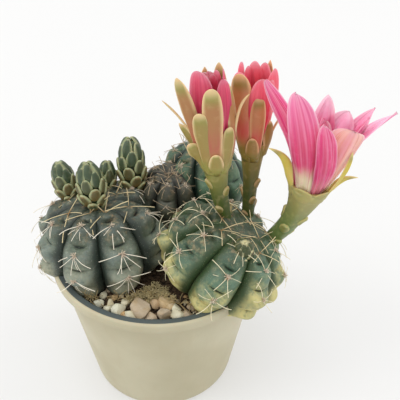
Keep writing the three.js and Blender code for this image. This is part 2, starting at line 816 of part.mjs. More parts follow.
function budRadius(bud, t) {
  const swollen = mix(0.5, 1, Math.sin((Math.min(1, t * 1.7) * Math.PI) / 2));
  const tapered = Math.sqrt(Math.max(0, 1 - Math.max(0, (t - 0.5) / 0.53) ** 2));
  return bud.radius * swollen * tapered;
}

// A flower bud, a closed cone of overlapping fleshy scales in whorls. Each whorl is
// turned half a scale from the one below it; a scale swells from its foot to its tip.
function makeBud(bud) {
  const base = vector(bud.base);
  const tip = vector(bud.tip);
  const length = base.distanceTo(tip);
  const frame = new Frame(base, tip.clone().sub(base));
  const sides = bud.scales * 4;
  const rings = [circle(frame, budRadius(bud, 0.02), 0, sides)];
  const pitch = 0.78 / bud.whorls;
  for (let whorl = 0; whorl < bud.whorls; whorl += 1) {
    const foot = 0.16 + whorl * pitch;
    for (const [rise, swell] of [[0.25, 0.09], [0.78, 0.16]]) {
      const t = foot + rise * pitch;
      rings.push(Array.from({ length: sides }, (_, s) => {
        const across = Math.cos(((s + (whorl % 2) * 2) / 4) * 2 * Math.PI);
        const height = (t + 0.35 * pitch * across * rise) * length;
        const radius = budRadius(bud, t) * (0.9 + swell * across);
        return frame.around(radius, (s / sides) * 2 * Math.PI, height);
      }));
    }
  }
  return loft(base, rings, tip);
}

// The round hole in a head that the lower half of a bud sits in.
function budRoom(bud) {
  const base = vector(bud.base);
  const frame = new Frame(base, vector(bud.tip).sub(base));
  const length = base.distanceTo(vector(bud.tip));
  const sides = 12;
  const grown = 1.16 / Math.cos(Math.PI / sides);
  const rings = [0, 0.25, 0.5, 0.8].map((t) => {
    const radius = budRadius(bud, Math.min(0.5, t)) * grown + gap;
    return circle(frame, radius, t === 0 ? -gap : t * length, sides);
  });
  return loft(frame.point(0, 0, -gap), rings, frame.point(0, 0, length * 0.8));
}

// ---------------------------------------------------------------- the assembly

const plant = new THREE.Group();
const hollows = heads.map((head) => globe(head, gap));

plant.add(meshOf('pot', makePot(), finish.pot));
plant.add(meshOf('soil', makeSoil(hollows), finish.soil));
for (const band of gravelBands) {
  plant.add(meshOf(band.name, makeGravel(band, hollows), finish.gravel));
}

// A head gives way to the pot and to the heads before it, which it is pressed against.
const potRoom = lathe(potProfile(gap), pot.sides);
const stemRooms = [
  ...flowers.map((flower) => tubeStem(flower, gap * 1.3)),
  ...buds.map((bud) => budRoom(bud)),
];
heads.forEach((head, index) => {
  const rooms = [potRoom, ...hollows.slice(0, index)];
  const flesh = biggest(makeFlesh(head).subtract(joined(rooms)));
  const spined = joined([flesh, ...makeSpines(head)]);
  const body = biggest(spined.subtract(joined(stemRooms)));
  plant.add(meshOf(head.name, body, { color: head.color, roughness: finish.flesh }));
});

for (const flower of flowers) {
  const green = { color: flower.color, roughness: finish.flesh };
  plant.add(meshOf(`${flower.name}_tube`, makeTube(flower), green));
  plant.add(meshOf(`${flower.name}_petals`, makePetals(flower), finish.petal));
  plant.add(meshOf(`${flower.name}_stamens`, makeStamens(flower), finish.stamen));
}

buds.forEach((bud, index) => {
  plant.add(meshOf(`bud_${index + 1}`, makeBud(bud), finish.bud));
});

export default plant;
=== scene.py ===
"""A chin cactus in flower, dressed for rendering: skin, spines, petals, buds, pot and stones.

Sizes in the tables are millimetres. A head, flower or bud is given by the same driving
numbers as its solid, and its finer surface is worked out from them.
"""

import json
import math
import random

import bmesh
import bpy
import numpy as np
from mathutils import Matrix, Vector, noise

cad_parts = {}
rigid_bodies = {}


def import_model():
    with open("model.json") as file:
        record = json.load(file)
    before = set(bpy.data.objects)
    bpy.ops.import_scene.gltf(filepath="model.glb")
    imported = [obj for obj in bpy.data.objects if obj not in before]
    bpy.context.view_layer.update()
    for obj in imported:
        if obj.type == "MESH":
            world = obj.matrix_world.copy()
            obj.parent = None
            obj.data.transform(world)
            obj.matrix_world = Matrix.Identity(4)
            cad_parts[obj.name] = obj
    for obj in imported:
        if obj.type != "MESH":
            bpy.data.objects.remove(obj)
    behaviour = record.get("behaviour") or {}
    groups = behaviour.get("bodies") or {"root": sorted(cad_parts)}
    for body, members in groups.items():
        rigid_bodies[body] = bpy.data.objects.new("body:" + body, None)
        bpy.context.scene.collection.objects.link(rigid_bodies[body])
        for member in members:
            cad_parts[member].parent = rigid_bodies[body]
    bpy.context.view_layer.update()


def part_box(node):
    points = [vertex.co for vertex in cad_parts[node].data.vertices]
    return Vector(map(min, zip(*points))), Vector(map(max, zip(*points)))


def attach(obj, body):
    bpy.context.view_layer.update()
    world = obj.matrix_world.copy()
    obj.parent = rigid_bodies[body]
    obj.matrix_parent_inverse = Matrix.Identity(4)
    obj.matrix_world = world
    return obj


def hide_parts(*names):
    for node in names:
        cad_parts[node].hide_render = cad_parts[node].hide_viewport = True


bl_info = {
    "name": "Chin Cactus Looks",
    "version": (1, 0, 0),
    "blender": (4, 5, 0),
    "location": "View3D > Sidebar > Cactus",
    "description": "Builds the visible surfaces of a potted chin cactus in flower",
    "category": "Add Mesh",
}

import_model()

MM = 0.001
GOLDEN = 137.5  # degrees from one scale or stamen to the next

POT_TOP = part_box("pot")[1][2] / MM
RIM_RADIUS, WALL_TOP, FOOT_RADIUS, WALL, FLOOR = 33, 30.9, 23.6, 1.2, 1.6
RIM_FOOT = 44.8
SOIL_TOP = 43.6

# ---- the plant's own numbers

# A head is a flattened globe that leans out of the cluster. A rib is the way it faces
# and the angle from the crown down to its first areole, in degrees.
HEADS = {
    "head_left": dict(
        centre=(-16.8, -2, 52.4), radius=19.5, up=14.8, low=14.6, lean=3, lean_to=180, step=27,
        seed=3, skin="blue", fan=1.2, spine=6, spines=6, rise=-0.15,
        ribs=[(-150, 44), (-106, 33), (-63, 35), (-12, 45), (36, 34), (80, 45), (124, 33),
              (168, 45)]),
    "head_right": dict(
        centre=(18.6, -10.5, 52.4), radius=18.9, up=14, low=13, lean=28, lean_to=0, step=28,
        seed=5, skin="green", fan=2.3, spine=5.6, spines=6, rise=-0.05,
        ribs=[(-182, 40), (-147, 45), (-100, 31), (-58, 45), (-18, 33), (22, 45), (60, 33),
              (100, 45), (140, 33)]),
    "head_middle": dict(
        centre=(2.2, 10.5, 58.8), radius=9.4, up=11.5, low=15, lean=10, lean_to=-80, step=36,
        seed=11, skin="brown", fan=1.7, spine=4.2, spines=5, rise=-0.15,
        ribs=[(-148, 40), (-92, 30), (-36, 40), (26, 30), (88, 40), (150, 30)]),
    "head_back": dict(
        centre=(12.5, 18.5, 59), radius=14.5, up=14.5, low=16.5, lean=10, lean_to=110, step=34,
        seed=13, skin="dark", fan=1.7, spine=4.6, spines=5, rise=-0.15,
        ribs=[(-165, 33), (-122, 47), (-78, 33), (-34, 47), (10, 33), (55, 47), (100, 33),
              (146, 47)]),
}
RIB_DEPTH = 0.31  # of the radius
FOLD_DEPTH, CROWN_DIMPLE = 1.3, 2
FOLD_ABOVE, LAST_FOLD, LAST_AREOLE = 7, 128, 112  # degrees above an areole, and from the crown

# A sepal is the way it faces, how far it turns by its tip, the height of its tip above the
# throat, the distance of its tip from the flower's middle line, its width, how far its face
# is turned, where its foot starts, how much it arches over, and how pointed it is. A petal
# has, after its face, how far its foot stands inside the throat, how late it opens out,
# how blunt it is, and its tint from lilac through hot pink to peach. A scale is its place
# up the tube, its way, width and length. "flush" is the height past which a sepal reddens.
FLOWERS = {
    "flower_1": dict(
        base=(20.2, -7.6, 61.8), throat=(15.8, -8.3, 86.5), up=(15, -8.6, 98),
        tube=(1.4, 2.4, 4.3), foot=4.1, mouth=6.9, bend=0.8, length=22.5, belly=1, ripple=0.2,
        pleat=0.1, flush=15, seed=23,
        sepals=[
            (115, 0, 23, 3.6, 3.2, 0, -5, 0, 0.6), (66, 0, 23.6, 4.5, 4.6, 0, -5, 0, 0.5),
            (-168, -4, 10.4, 8.6, 3.6, 50, -3.6, 0, 0.5), (-20, 0, 20.7, 3.5, 3.8, -20, -5, 0, 0),
            (-148, -2, 24.3, 9.1, 4.4, 35, -5, 0, 0.4), (-146, -4, 5.7, 7.4, 5.2, 60, -3.6, 0, 0),
            (-48, 0, 10.3, 5.5, 3.9, -15, -5, 0, 0), (-91, 0, 22.4, 7.2, 5.3, 0, -5, 0, 0),
            (-115, -2, 15.7, 7.1, 5.6, 15, -5, 0, 0), (-88, 0, 3.3, 4.8, 4.2, 0, -3, 0, 0),
            (-14, 0, 18, 9, 0.9, -30, -3.6, 0.9, 1), (-165, 0, 18, 12.4, 0.6, 40, -3.6, 0, 1)],
        petals=[
            (100, 0, 21.8, 3.4, 6.5, 0, 1.9, 0.8, 6, 0),
            (140, 0, 22.4, 2.6, 6, 0, 1.7, 0.8, 6, 0),
            (10, 0, 23.5, 2.8, 5.2, -20, 1.7, 0.8, 6, 0),
            (50, 0, 22.8, 2.1, 5.6, 0, 1.9, 0.8, 6, 0),
            (-50, 0, 22.7, 4.2, 5, -10, 1.7, 0.8, 6, 0), (-90, 0, 20.5, 5, 6, 0, 1.9, 0.8, 6, 0),
            (-134, -8, 24.6, 3.7, 9, 25, 1.5, 0.8, 6, 0),
            (70, 0, 22.1, 1.1, 5, 0, 2.8, 0.8, 6, 0), (170, 0, 22.1, 1.3, 5, 0, 2.8, 0.8, 6, 0)],
        scales=[
            (0.06, -78, 2.8, 3), (0.3, -118, 2.5, 3), (0.52, -36, 2.3, 3.4), (0.2, 20, 2.4, 3.2),
            (0.42, 120, 2.6, 3.4), (0.64, -150, 2.8, 3.6), (0.7, 60, 3, 3.8)]),
    "flower_2": dict(
        base=(25.9, -1.6, 58.2), throat=(26.4, 1.8, 84.5), up=(26.2, 2.4, 96),
        tube=(1.7, 2.05, 4), foot=4, mouth=6.3, bend=0.8, length=22.5, belly=1, ripple=0.2,
        pleat=0.1, flush=10, seed=29,
        sepals=[
            (45, 0, 22, 5.2, 4, 0, -5, 0, 0.7), (-8, 0, 7.9, 6.8, 0.9, 0, -3.6, 0, 1),
            (-155, 0, 9.4, 4.8, 3.8, 25, -3.6, 0, 0.5), (-132, 0, 21.6, 6.8, 6.4, 25, -5, 0, 0),
            (-30, 4, 7.2, 4.1, 4, -30, -3.6, 0, 0), (-84, 0, 15.6, 5.2, 4.5, 0, -5, 0, 0),
            (-97, 0, 3.7, 4.7, 3.8, 0, -3, 0, 0)],
        petals=[
            (165, 0, 22.5, 4.2, 5.6, -20, 1.7, 0.8, 6, 0),
            (95, 0, 21.9, 3.1, 6.6, 0, 1.7, 0.8, 5, 0), (50, 0, 21.6, 4, 5.6, 0, 1.9, 0.8, 6, 0),
            (-5, 0, 21.1, 4.5, 7, -40, 1.7, 0.8, 6, 0),
            (-45, 0, 19.3, 4.9, 5.6, 0, 1.9, 0.8, 6, 0),
            (-80, 0, 20.3, 5.4, 6.8, 0, 1.7, 0.8, 6, 0),
            (-130, -5, 21.8, 6.4, 6.4, 20, 1.7, 0.8, 6, 0),
            (75, 0, 20, 4.8, 5, 0, 2.6, 0.8, 6, 0), (130, 0, 20.9, 2.9, 5, 0, 2.6, 0.8, 6, 0)],
        scales=[
            (0.12, -130, 2.4, 2.8), (0.3, -60, 2.2, 3), (0.5, -28, 2.4, 3.2),
            (0.36, 160, 2.6, 3.2), (0.6, 90, 2.8, 3.6), (0.22, 30, 2.4, 3)]),
    "flower_3": dict(
        base=(32.6, -4, 54), throat=(41.5, -7.6, 76.8), up=(44.5, -8.8, 98), tube=(2.2, 2.9, 5.7),
        foot=5.3, mouth=19, bend=1.1, length=29, belly=0.4, ripple=0.8, pleat=0.4, flush=2,
        seed=31,
        sepals=[
            (-166, -6, 11.2, 14.1, 2.9, 75, -3, 1, 0.9),
            (-24, 6, 6.9, 11.2, 3.1, -65, -3, 0.8, 0.9),
            (-34, 6, 14.5, 7.6, 1.5, -45, -3, 0, 0.8), (-118, 0, 1.7, 5.7, 7.5, 0, -3, 0, 0),
            (-56, 0, 1.5, 5.7, 7.5, 0, -3, 0, 0), (60, 0, 11, 9, 4.8, 0, -3, 0, 1)],
        petals=[
            (145, 0, 22.8, 9.7, 10, 0, 2.8, 1.3, 3, 0.2),
            (95, -5, 23.2, 7.8, 10.5, 0, 2.8, 1.1, 2.6, 0),
            (52, -6, 20.5, 8.6, 12, 0, 2.8, 1.2, 4, 0.1),
            (28, -10, 23.8, 11.8, 8.5, 0, 2.8, 1.3, 2.4, 0.3),
            (2, -6, 25.6, 15.2, 9.4, -12, 1.8, 2, 2.4, 0.1),
            (0, -6, 23.5, 8.6, 6, 0, 2.4, 1.4, 3, 0.6),
            (140, -20, 19.6, 1.9, 8.5, 0, 2.8, 1, 4, 0.5),
            (-148, -28, 29.3, 19, 8.6, 40, 1.2, 2, 2.6, 0.4),
            (-68, -46, 24.4, 10.2, 6, 12, 1.1, 1, 5, 0.38),
            (-117, -30, 30.8, 15, 8.2, 40, 0.8, 1.3, 6, 0),
            (-60, 10, 21.6, 7, 10.2, -34, 1.2, 1.4, 9, 1)],
        scales=[
            (0.1, -70, 3, 3), (0.34, -112, 3, 3.6), (0.24, 10, 3, 3.4), (0.5, -30, 3.4, 4),
            (0.46, 150, 3.2, 4), (0.66, 80, 3.6, 4.4)]),
}

# A bud is its foot, its tip, its radius, and how many scales stand in how many whorls.
BUDS = {
    "bud_1": ((-26.6, 4, 61), (-29, 4, 75), 3.1, 5, 4),
    "bud_2": ((-18.2, -3, 63.6), (-19.4, -2.6, 79.2), 3.7, 5, 4),
    "bud_3": ((-8.4, 8.6, 60), (-8.8, 9.8, 80.2), 3.9, 5, 5),
    "bud_4": ((-16.2, 7.6, 61.4), (-15.9, 8.8, 72.6), 2.4, 4, 3),
    "bud_5": ((23.4, -17.6, 59), (24, -20, 66.2), 2.6, 5, 2),
}

# The stones that lie uppermost in front: place, width, and tint from cream to pinkish.
STONES = [
    (-17.2, -22.8, 3.6, 0), (-13.9, -24.6, 3.4, 0.1), (-10.6, -25.2, 4.6, 0.05),
    (-8.4, -27.2, 3.2, 0.5), (-13, -21.5, 3, 0.3), (-4.2, -24.6, 7, 0.95), (-6.5, -27, 4.2, 0.2),
    (2.3, -26, 5.2, 0.9), (3, -21.7, 5.6, 0.45), (6.5, -26.6, 4.4, 0.15), (-1, -27.4, 4, 0.85),
    (8.9, -25.6, 3.8, 0.8), (-8.6, -21.2, 3.4, 0.2), (-0.4, -21.8, 3.6, 0.7),
    (5.8, -23.4, 3.6, 0.1), (-3.9, -28.2, 2.8, 0.35)]
# Where the root fibres and the tufts of moss lie.
FIBRES = [
    (9.5, -24.2), (11.5, -25.4), (12.6, -24), (-20, -20), (-17.5, -20.6), (-11, -20.4),
    (-1.5, -19.8), (6.8, -21.4), (-22.5, 17), (-6, -20.2), (10.6, -22.6)]
MOSS = [
    (-2.6, -19.2), (-1.2, -18.4), (-3.6, -18.2), (-4.6, -20), (0.6, -19.4), (-18.6, -19.6),
    (-20.6, -18.6), (-2, -20.6), (-0.2, -17.4), (-5.4, -18.6), (1.8, -18.4), (-6.4, -19.6),
    (2.8, -19.8), (-1.6, -16.2), (0.8, -16.4), (-3.4, -16.8), (4.2, -20.6), (-8, -20.2),
    (2.2, -17), (-0.6, -14.8)]


# ---- colours and materials

def srgb(colour):
    """The linear colour of an sRGB hex code. An output is given back as it is."""
    if not isinstance(colour, str):
        return colour
    channels = [int(colour[i:i + 2], 16) / 255 for i in (1, 3, 5)]
    return [c / 12.92 if c <= 0.04045 else ((c + 0.055) / 1.055) ** 2.4 for c in channels] + [1.0]


def add_node(tree, kind, sockets=None, **settings):
    """Adds a node with its settings. A socket gets its own value, or the output or node that
    feeds it."""
    made = tree.nodes.new(kind)
    for key, value in settings.items():
        setattr(made, key, value)
    for key, value in (sockets or {}).items():
        if isinstance(value, bpy.types.Node):
            value = value.outputs[0]
        if isinstance(value, bpy.types.NodeSocket):
            tree.links.new(value, made.inputs[key])
        elif value is not None:
            made.inputs[key].default_value = value
    return made


class Paint:
    """A material in the making: a Principled shader, the patterns that feed it, and its
    colour so far. A colour is a hex code or an output."""

    def __init__(self, name, roughness, colour, **sockets):
        self.material = bpy.data.materials.new(name)
        self.material.use_nodes = True
        self.tree = self.material.node_tree
        self.shader = self.tree.nodes["Principled BSDF"]
        self.shader.inputs["Roughness"].default_value = roughness
        for key, value in sockets.items():
            self.shader.inputs[key.replace("_", " ")].default_value = value
        self.colour = colour
        self.place = self.add("TexCoord").outputs

    def add(self, kind, sockets=None, **settings):
        """Adds a shader node."""
        return add_node(self.tree, "ShaderNode" + kind, sockets, **settings)

    def value(self, name):
        """A number that the mesh carries at each point."""
        return self.add("Attribute", attribute_name=name).outputs["Fac"]

    def blade(self):
        """The squared distance from a blade's middle line, and the share of its length."""
        split = self.add("SeparateXYZ", {0: self.place["UV"]}).outputs
        off_centre = self.times(split[0], 0.5, "SUBTRACT")
        return self.times(off_centre, off_centre), split[1]

    def spots(self, size, detail=2, rough=0.5, stretch=(1, 1, 1), where="Object"):
        """Soft noise whose lumps are `size` metres wide."""
        moved = self.add("Mapping", {"Vector": self.place[where], "Scale": stretch})
        return self.add("TexNoise", {"Vector": moved, "Scale": 1 / size, "Detail": detail,
                                     "Roughness": rough})

    def cells(self, size):
        """Distance to the nearest of a scatter of points `size` metres apart."""
        return self.add("TexVoronoi", {"Vector": self.place["Object"], "Scale": 1 / size})

    def range(self, source, low, high, most=1, least=0):
        """Maps low..high of a number to least..most, with soft ends."""
        return self.add("MapRange", {"Value": source, "From Min": low, "From Max": high,
                                     "To Min": least, "To Max": most},
                        interpolation_type="SMOOTHSTEP")

    def times(self, one, other, operation="MULTIPLY"):
        """Two numbers multiplied, or put together by another operation."""
        return self.add("Math", {0: one, 1: other}, operation=operation)

    def lay(self, over, share, low=None, high=None, most=1):
        """Lays a colour on the one so far, by a share or by where a number lies in a range."""
        if low is not None:
            share = self.range(share, low, high, most)
        self.colour = self.add("Mix", {"Factor": share, 6: srgb(self.colour), 7: srgb(over)},
                               data_type="RGBA").outputs[2]

    def bump(self, height, depth, strength):
        """Relief of `depth` metres from a height of 0 to 1, on top of what is there."""
        normal = self.shader.inputs["Normal"]
        under = normal.links[0].from_socket if normal.is_linked else None
        made = self.add("Bump", {"Height": height, "Strength": strength, "Distance": depth,
                                 "Normal": under})
        self.tree.links.new(made.outputs[0], normal)

    def finish(self, roughness=None):
        """Links the colour, and a roughness pattern where there is one."""
        self.tree.links.new(self.colour, self.shader.inputs["Base Color"])
        if roughness:
            self.tree.links.new(roughness.outputs[0], self.shader.inputs["Roughness"])
        return self.material


SKINS = {
    # upper side, flank, foot, furrow (painted shade in the furrows, and darker patches),
    # fold (painted shade in the fold above each areole, and a darker crown), speckle,
    # chin (painted highlight on the chin below each fold, and cloudy patches)
    "blue": ("#646f5d", "#687466", "#9a9a82", "#28332b", "#252e28", "#adb29e", "#717e78"),
    "green": ("#4b5740", "#57745f", "#c9be7c", "#314624", "#20301f", "#aeb084", "#637c66"),
    "brown": ("#5c5c4d", "#4e5448", "#66664f", "#22251e", "#23261f", "#8b8470", "#686a5e"),
    "dark": ("#5c7c5c", "#3a5a44", "#4a5a3c", "#172a21", "#16261e", "#7c9276", "#5e8060"),
}
SLOTS = {"blue": "skin_blue", "green": "skin_green", "brown": "skin_dark", "dark": "skin_dark"}


def skin_material(name):
    """Cactus skin: a waxy cuticle over green flesh. It shows a dull sheen, fine pale dots,
    and a foot that has turned corky and yellow. Shade is painted into the furrows and into the
    fold above each areole, and a highlight onto the chin below it."""
    upper, flank, foot, furrow, fold, speckle, chin = SKINS[name]
    paint = Paint(f"cactus_skin_{name}", 0.5, upper, Subsurface_Weight=0.06,
                  Subsurface_Scale=1.2 * MM)
    low = paint.value("low")
    level = paint.times(low, paint.times(paint.spots(6 * MM, 3, 0.6), 0.5), "ADD")
    foot_from = 0.54
    if name == "green":
        x = paint.add("SeparateXYZ", {0: paint.place["Object"]})
        level = paint.times(level, paint.range(x, 10 * MM, 3 * MM, 0.18), "ADD")
        level = paint.times(level, paint.times(paint.spots(3 * MM, 4, 0.7), 0.4), "ADD")
        foot_from = 0.72
    crown = paint.range(low, 0.33, 0.1)
    cork = paint.range(paint.spots(2 * MM, 4, 0.7), 0.5, 0.65, 0.6)
    clouds = paint.spots(4 * MM, 3, 0.6, (1, 1, 0.6))
    mottle = paint.spots(1.5 * MM, 4, 0.65)
    dots = paint.cells(0.62 * MM)
    paint.lay(flank, level, 0.45, 0.7)
    # Painted highlight: the chin below each fold is lightened and tinted where light catches it.
    paint.lay(chin, paint.value("chin"), 0.2, 1, 0.5)
    paint.lay(foot, level, foot_from, foot_from + 0.4, 0.95)
    paint.lay(fold, paint.times(crown, 0.6))
    paint.lay("#9c8763", paint.times(crown, cork))
    paint.lay(chin, clouds, 0.5, 0.75, 0.6)
    paint.lay(furrow, clouds, 0.46, 0.25, 0.35)
    paint.lay(speckle, mottle, 0.5, 0.8, 0.4)
    paint.lay(furrow, mottle, 0.5, 0.25, 0.45)
    # Painted shade: the furrows between the ribs are darkened where shade falls in them.
    paint.lay(furrow, paint.value("furrow"), 0.04, 0.42, 0.95)
    # Painted shade: the fold above each areole is darkened where shade falls in it.
    paint.lay(fold, paint.value("fold"), 0.25, 0.8, 0.9)
    paint.lay(speckle, dots, 0.26, 0.12, 0.2)
    paint.bump(paint.range(dots, 0.3, 0.1), 0.05 * MM, 0.5)
    paint.bump(mottle, 0.3 * MM, 0.55)
    return paint.finish(paint.range(mottle, 0.3, 0.7, 0.62, 0.42))


def spine_material(name, root, shaft):
    """Spines: dry, hard and a little glossy, brownish at the root and cream above."""
    paint = Paint(name, 0.5, root)
    paint.lay(shaft, paint.value("along"), 0.02, 0.3)
    return paint.finish()


PETALS = {
    # foot, deep inside, inside, lip, outside, outer tip, midrib, hot tint, peach tint
    "flower_1": ("petal_crimson", "#d8707c", "#c01a3c", "#d92a4a", "#e8607e", "#c92e58",
                 "#cf3c62", "#b8264c", "#e8425c", "#f0a0a4"),
    "flower_2": ("petal_scarlet", "#d8505a", "#dc1c34", "#ee3048", "#f8687e", "#e8203c",
                 "#f45c74", "#d82840", "#f0425c", "#f0a0a4"),
    "flower_3": ("petal_pink", "#efd9ae", "#c01766", "#f75c98", "#ffb4d0", "#d82a66",
                 "#ea6496", "#d4587c", "#d81c68", "#fcb29c"),
}


def petal_material(name, foot, deep, inner, lip, outer, tip, streak, hot, peach):
    """Petals: thin, satiny and lit through, deeper in colour down in the flower, with fine
    lengthwise veins and a darker midrib."""
    paint = Paint(name, 0.4, deep, Subsurface_Weight=0.5, Subsurface_Scale=2 * MM,
                  Subsurface_Radius=(1.0, 0.8, 0.8))
    off_centre, along = paint.blade()
    veins = paint.spots(1, 2, 0.6, (10, 0.8, 1), "UV")
    tint = paint.value("tint")
    paint.lay(inner, along, 0.25, 0.65)
    paint.lay(lip, along, 0.6, 0.95)
    paint.lay(hot, tint, 0.1, 0.5, 0.7)
    inside, paint.colour = paint.colour, outer
    paint.lay(tip, along, 0.5, 0.95)
    paint.lay(hot, tint, 0.1, 0.5)
    paint.lay(peach, tint, 0.55, 1)
    paint.lay(streak, off_centre, 0.03, 0, 0.4)
    pale = paint.range(tint, 0.25, 0.4, 0.15, 1)
    paint.lay(foot, paint.times(paint.range(along, 0.4, 0.2), pale))
    paint.lay(inside, paint.value("inside"))
    paint.lay(tip, paint.spots(3 * MM, 3, 0.6), 0.5, 0.75, 0.4)
    paint.lay(lip, veins, 0.45, 0.65, 0.32)
    paint.lay(deep, veins, 0.46, 0.32, 0.55)
    paint.lay(lip, off_centre, 0.17, 0.25, 0.45)
    paint.bump(veins, 0.12 * MM, 0.6)
    return paint.finish()


GREENS = {
    # foot, top, middle, edge, flush, and how near the middle line the pale edge begins
    "flower_1": ("sepal_olive", "#425219", "#979049", "#ac7a4c", "#e0c592", "#b5664e", 0.07),
    "flower_2": ("sepal_brown", "#404a1a", "#8c7634", "#c07c50", "#e0b284", "#c84f48", 0.08),
    "flower_3": ("sepal_lime", "#6a7c44", "#a49a60", "#cdbb4c", "#e2d68c", "#d6be6c", 0.1),
    "bud": ("bud_scale_skin", "#7b6230", "#3a4a30", "#3c4e38", "#a5aa80", "#8c6f3a", 0.06),
    "bud_5": ("bud_scale_young", "#4c4628", "#38431f", "#3b4726", "#cdc598", "#8a7a50", 0.05),
}


def green_material(name, low, high, middle, edge, blush, rim_from):
    """Fleshy tube, sepals and bud scales: smooth and waxy, with pale thin edges and a
    flush of colour towards the foot."""
    paint = Paint(name, 0.45, low, Subsurface_Weight=0.15, Subsurface_Scale=1 * MM)
    off_centre, along = paint.blade()
    patches = paint.spots(1.8 * MM, 3)
    streaks = paint.spots(1.2 * MM, 3, 0.6, (1, 1, 0.2))
    leafy, flushed = paint.value("leafy"), paint.value("blush")
    share = paint.times(paint.times(flushed, 0.75), paint.times(leafy, 0.25), "ADD")
    upward = paint.times(paint.range(along, 0.93, 0.78), paint.range(along, 0.14, 0.36))
    flush = paint.times(paint.range(along, 0.68, 0.35), paint.range(along, 0.18, 0.4))
    flush = paint.times(flush, paint.range(streaks, 0.25, 0.6, 1, 0.5))
    sides, tip = paint.range(off_centre, rim_from, 0.24), paint.range(along, 0.88, 1)
    rim = paint.times(paint.times(sides, tip, "MAXIMUM"), paint.range(along, 0.15, 0.4))
    paint.lay(high, paint.value("height"), 0.3, 0.85)
    paint.lay(middle, paint.times(share, upward))
    paint.lay(edge, patches, 0.5, 0.8, 0.18)
    paint.lay(blush, paint.times(flushed, flush))
    paint.lay(edge, paint.times(rim, leafy))
    paint.lay(edge, paint.value("dry"))
    paint.bump(patches, 0.1 * MM, 0.4)
    return paint.finish()


def pot_material():
    """Injection-moulded polypropylene: matte, slightly see-through at thin edges, a beige
    outer layer over a dark inner one."""
    paint = Paint("moulded_polypropylene", 0.52, "#c0b99d", Subsurface_Weight=0.06,
                  Subsurface_Scale=1 * MM)
    patches = paint.spots(22 * MM, 3)
    streaks = paint.spots(5 * MM, 3, 0.6, (1, 1, 0.25))
    paint.lay("#b5ad90", patches, 0.3, 0.7)
    paint.lay("#b3a888", streaks, 0.5, 0.75, 0.35)
    paint.lay("#988c6c", paint.cells(1.4 * MM), 0.12, 0.05, 0.3)
    paint.lay("#4c5554", paint.value("inner"))
    paint.bump(paint.spots(0.5 * MM), 0.05 * MM, 0.35)
    paint.bump(streaks, 0.2 * MM, 0.25)
    return paint.finish(paint.range(patches, 0.3, 0.7, 0.6, 0.48))


def peat_material():
    """Potting peat: matt, fibrous and dark brown, with paler bits of bark."""
    paint = Paint("potting_peat", 0.95, "#33271c")
    crumbs = paint.spots(1.1 * MM, 5, 0.7)
    paint.lay("#665039", crumbs, 0.35, 0.7)
    paint.lay("#8f7452", paint.cells(1.3 * MM), 0.2, 0.08, 0.6)
    paint.bump(crumbs, 0.5 * MM, 0.9)
    return paint.finish()


def pebble_material():
    """Crushed pebbles: matt, cream to tan and pinkish, with darker grains and paler patches."""
    paint = Paint("river_pebble", 0.75, "#dedcc4")
    tint, grains = paint.value("tint"), paint.cells(0.5 * MM)
    patches = paint.spots(2.2 * MM, 4, 0.6)
    paint.lay("#d2c8a8", tint, 0, 0.3)
    paint.lay("#c39f6e", tint, 0.38, 0.5)
    paint.lay("#bcaa90", tint, 0.6, 0.8)
    paint.lay("#b3976a", patches, 0.5, 0.7, 0.5)
    paint.lay("#eeead8", patches, 0.45, 0.3, 0.45)
    paint.lay("#6e5a45", grains, 0.2, 0.08, 0.4)
    paint.bump(patches, 0.4 * MM, 0.7)
    paint.bump(grains, 0.06 * MM, 0.6)
    return paint.finish()


def plain_material(name, colour, other, size, roughness=0.8, detail=3):
    """A matt material of two close colours in soft patches."""
    paint = Paint(name, roughness, colour)
    paint.lay(other, paint.spots(size, detail))
    return paint.finish()


# ---- tools for meshes

class Axes:
    """A place with three directions: z along `direction`, x as near to +X as it can be."""

    def __init__(self, origin, direction):
        self.origin = np.array(origin, float)
        self.z = np.array(direction, float) / np.linalg.norm(direction)
        self.x = np.cross((0, 1, 0), self.z)
        self.x /= np.linalg.norm(self.x)
        self.y = np.cross(self.z, self.x)

    def point(self, x, y, z):
        """Points in the row frame for points given along the three directions."""
        x, y, z = (np.asarray(v, float)[..., None] for v in np.broadcast_arrays(x, y, z))
        return self.origin + x * self.x + y * self.y + z * self.z

    def around(self, radius, turn, height):
        """Points at a radius, a turn about z in radians and a height."""
        return self.point(radius * np.cos(turn), radius * np.sin(turn), height)


def new_object(name, data):
    """A new object in the scene."""
    made = bpy.data.objects.new(name, data)
    bpy.context.collection.objects.link(made)
    return made


def mark(mesh, key, values):
    """Gives each point of a mesh a number or a direction."""
    values = np.array(values, float)
    kind, field = ("FLOAT_VECTOR", "vector") if values.ndim > 1 else ("FLOAT", "value")
    mesh.attributes.new(key, kind, "POINT").data.foreach_set(field, values.reshape(-1))


def apply_modifiers(piece):
    """Gives a piece the plain mesh that its modifiers make."""
    graph = bpy.context.evaluated_depsgraph_get()
    old, piece.data = piece.data, bpy.data.meshes.new_from_object(piece.evaluated_get(graph))
    piece.modifiers.clear()
    bpy.data.meshes.remove(old)
    piece.data.name = piece.name


def ring(count):
    """Turns of the points on a ring."""
    return np.linspace(0, 2 * np.pi, count, endpoint=False)


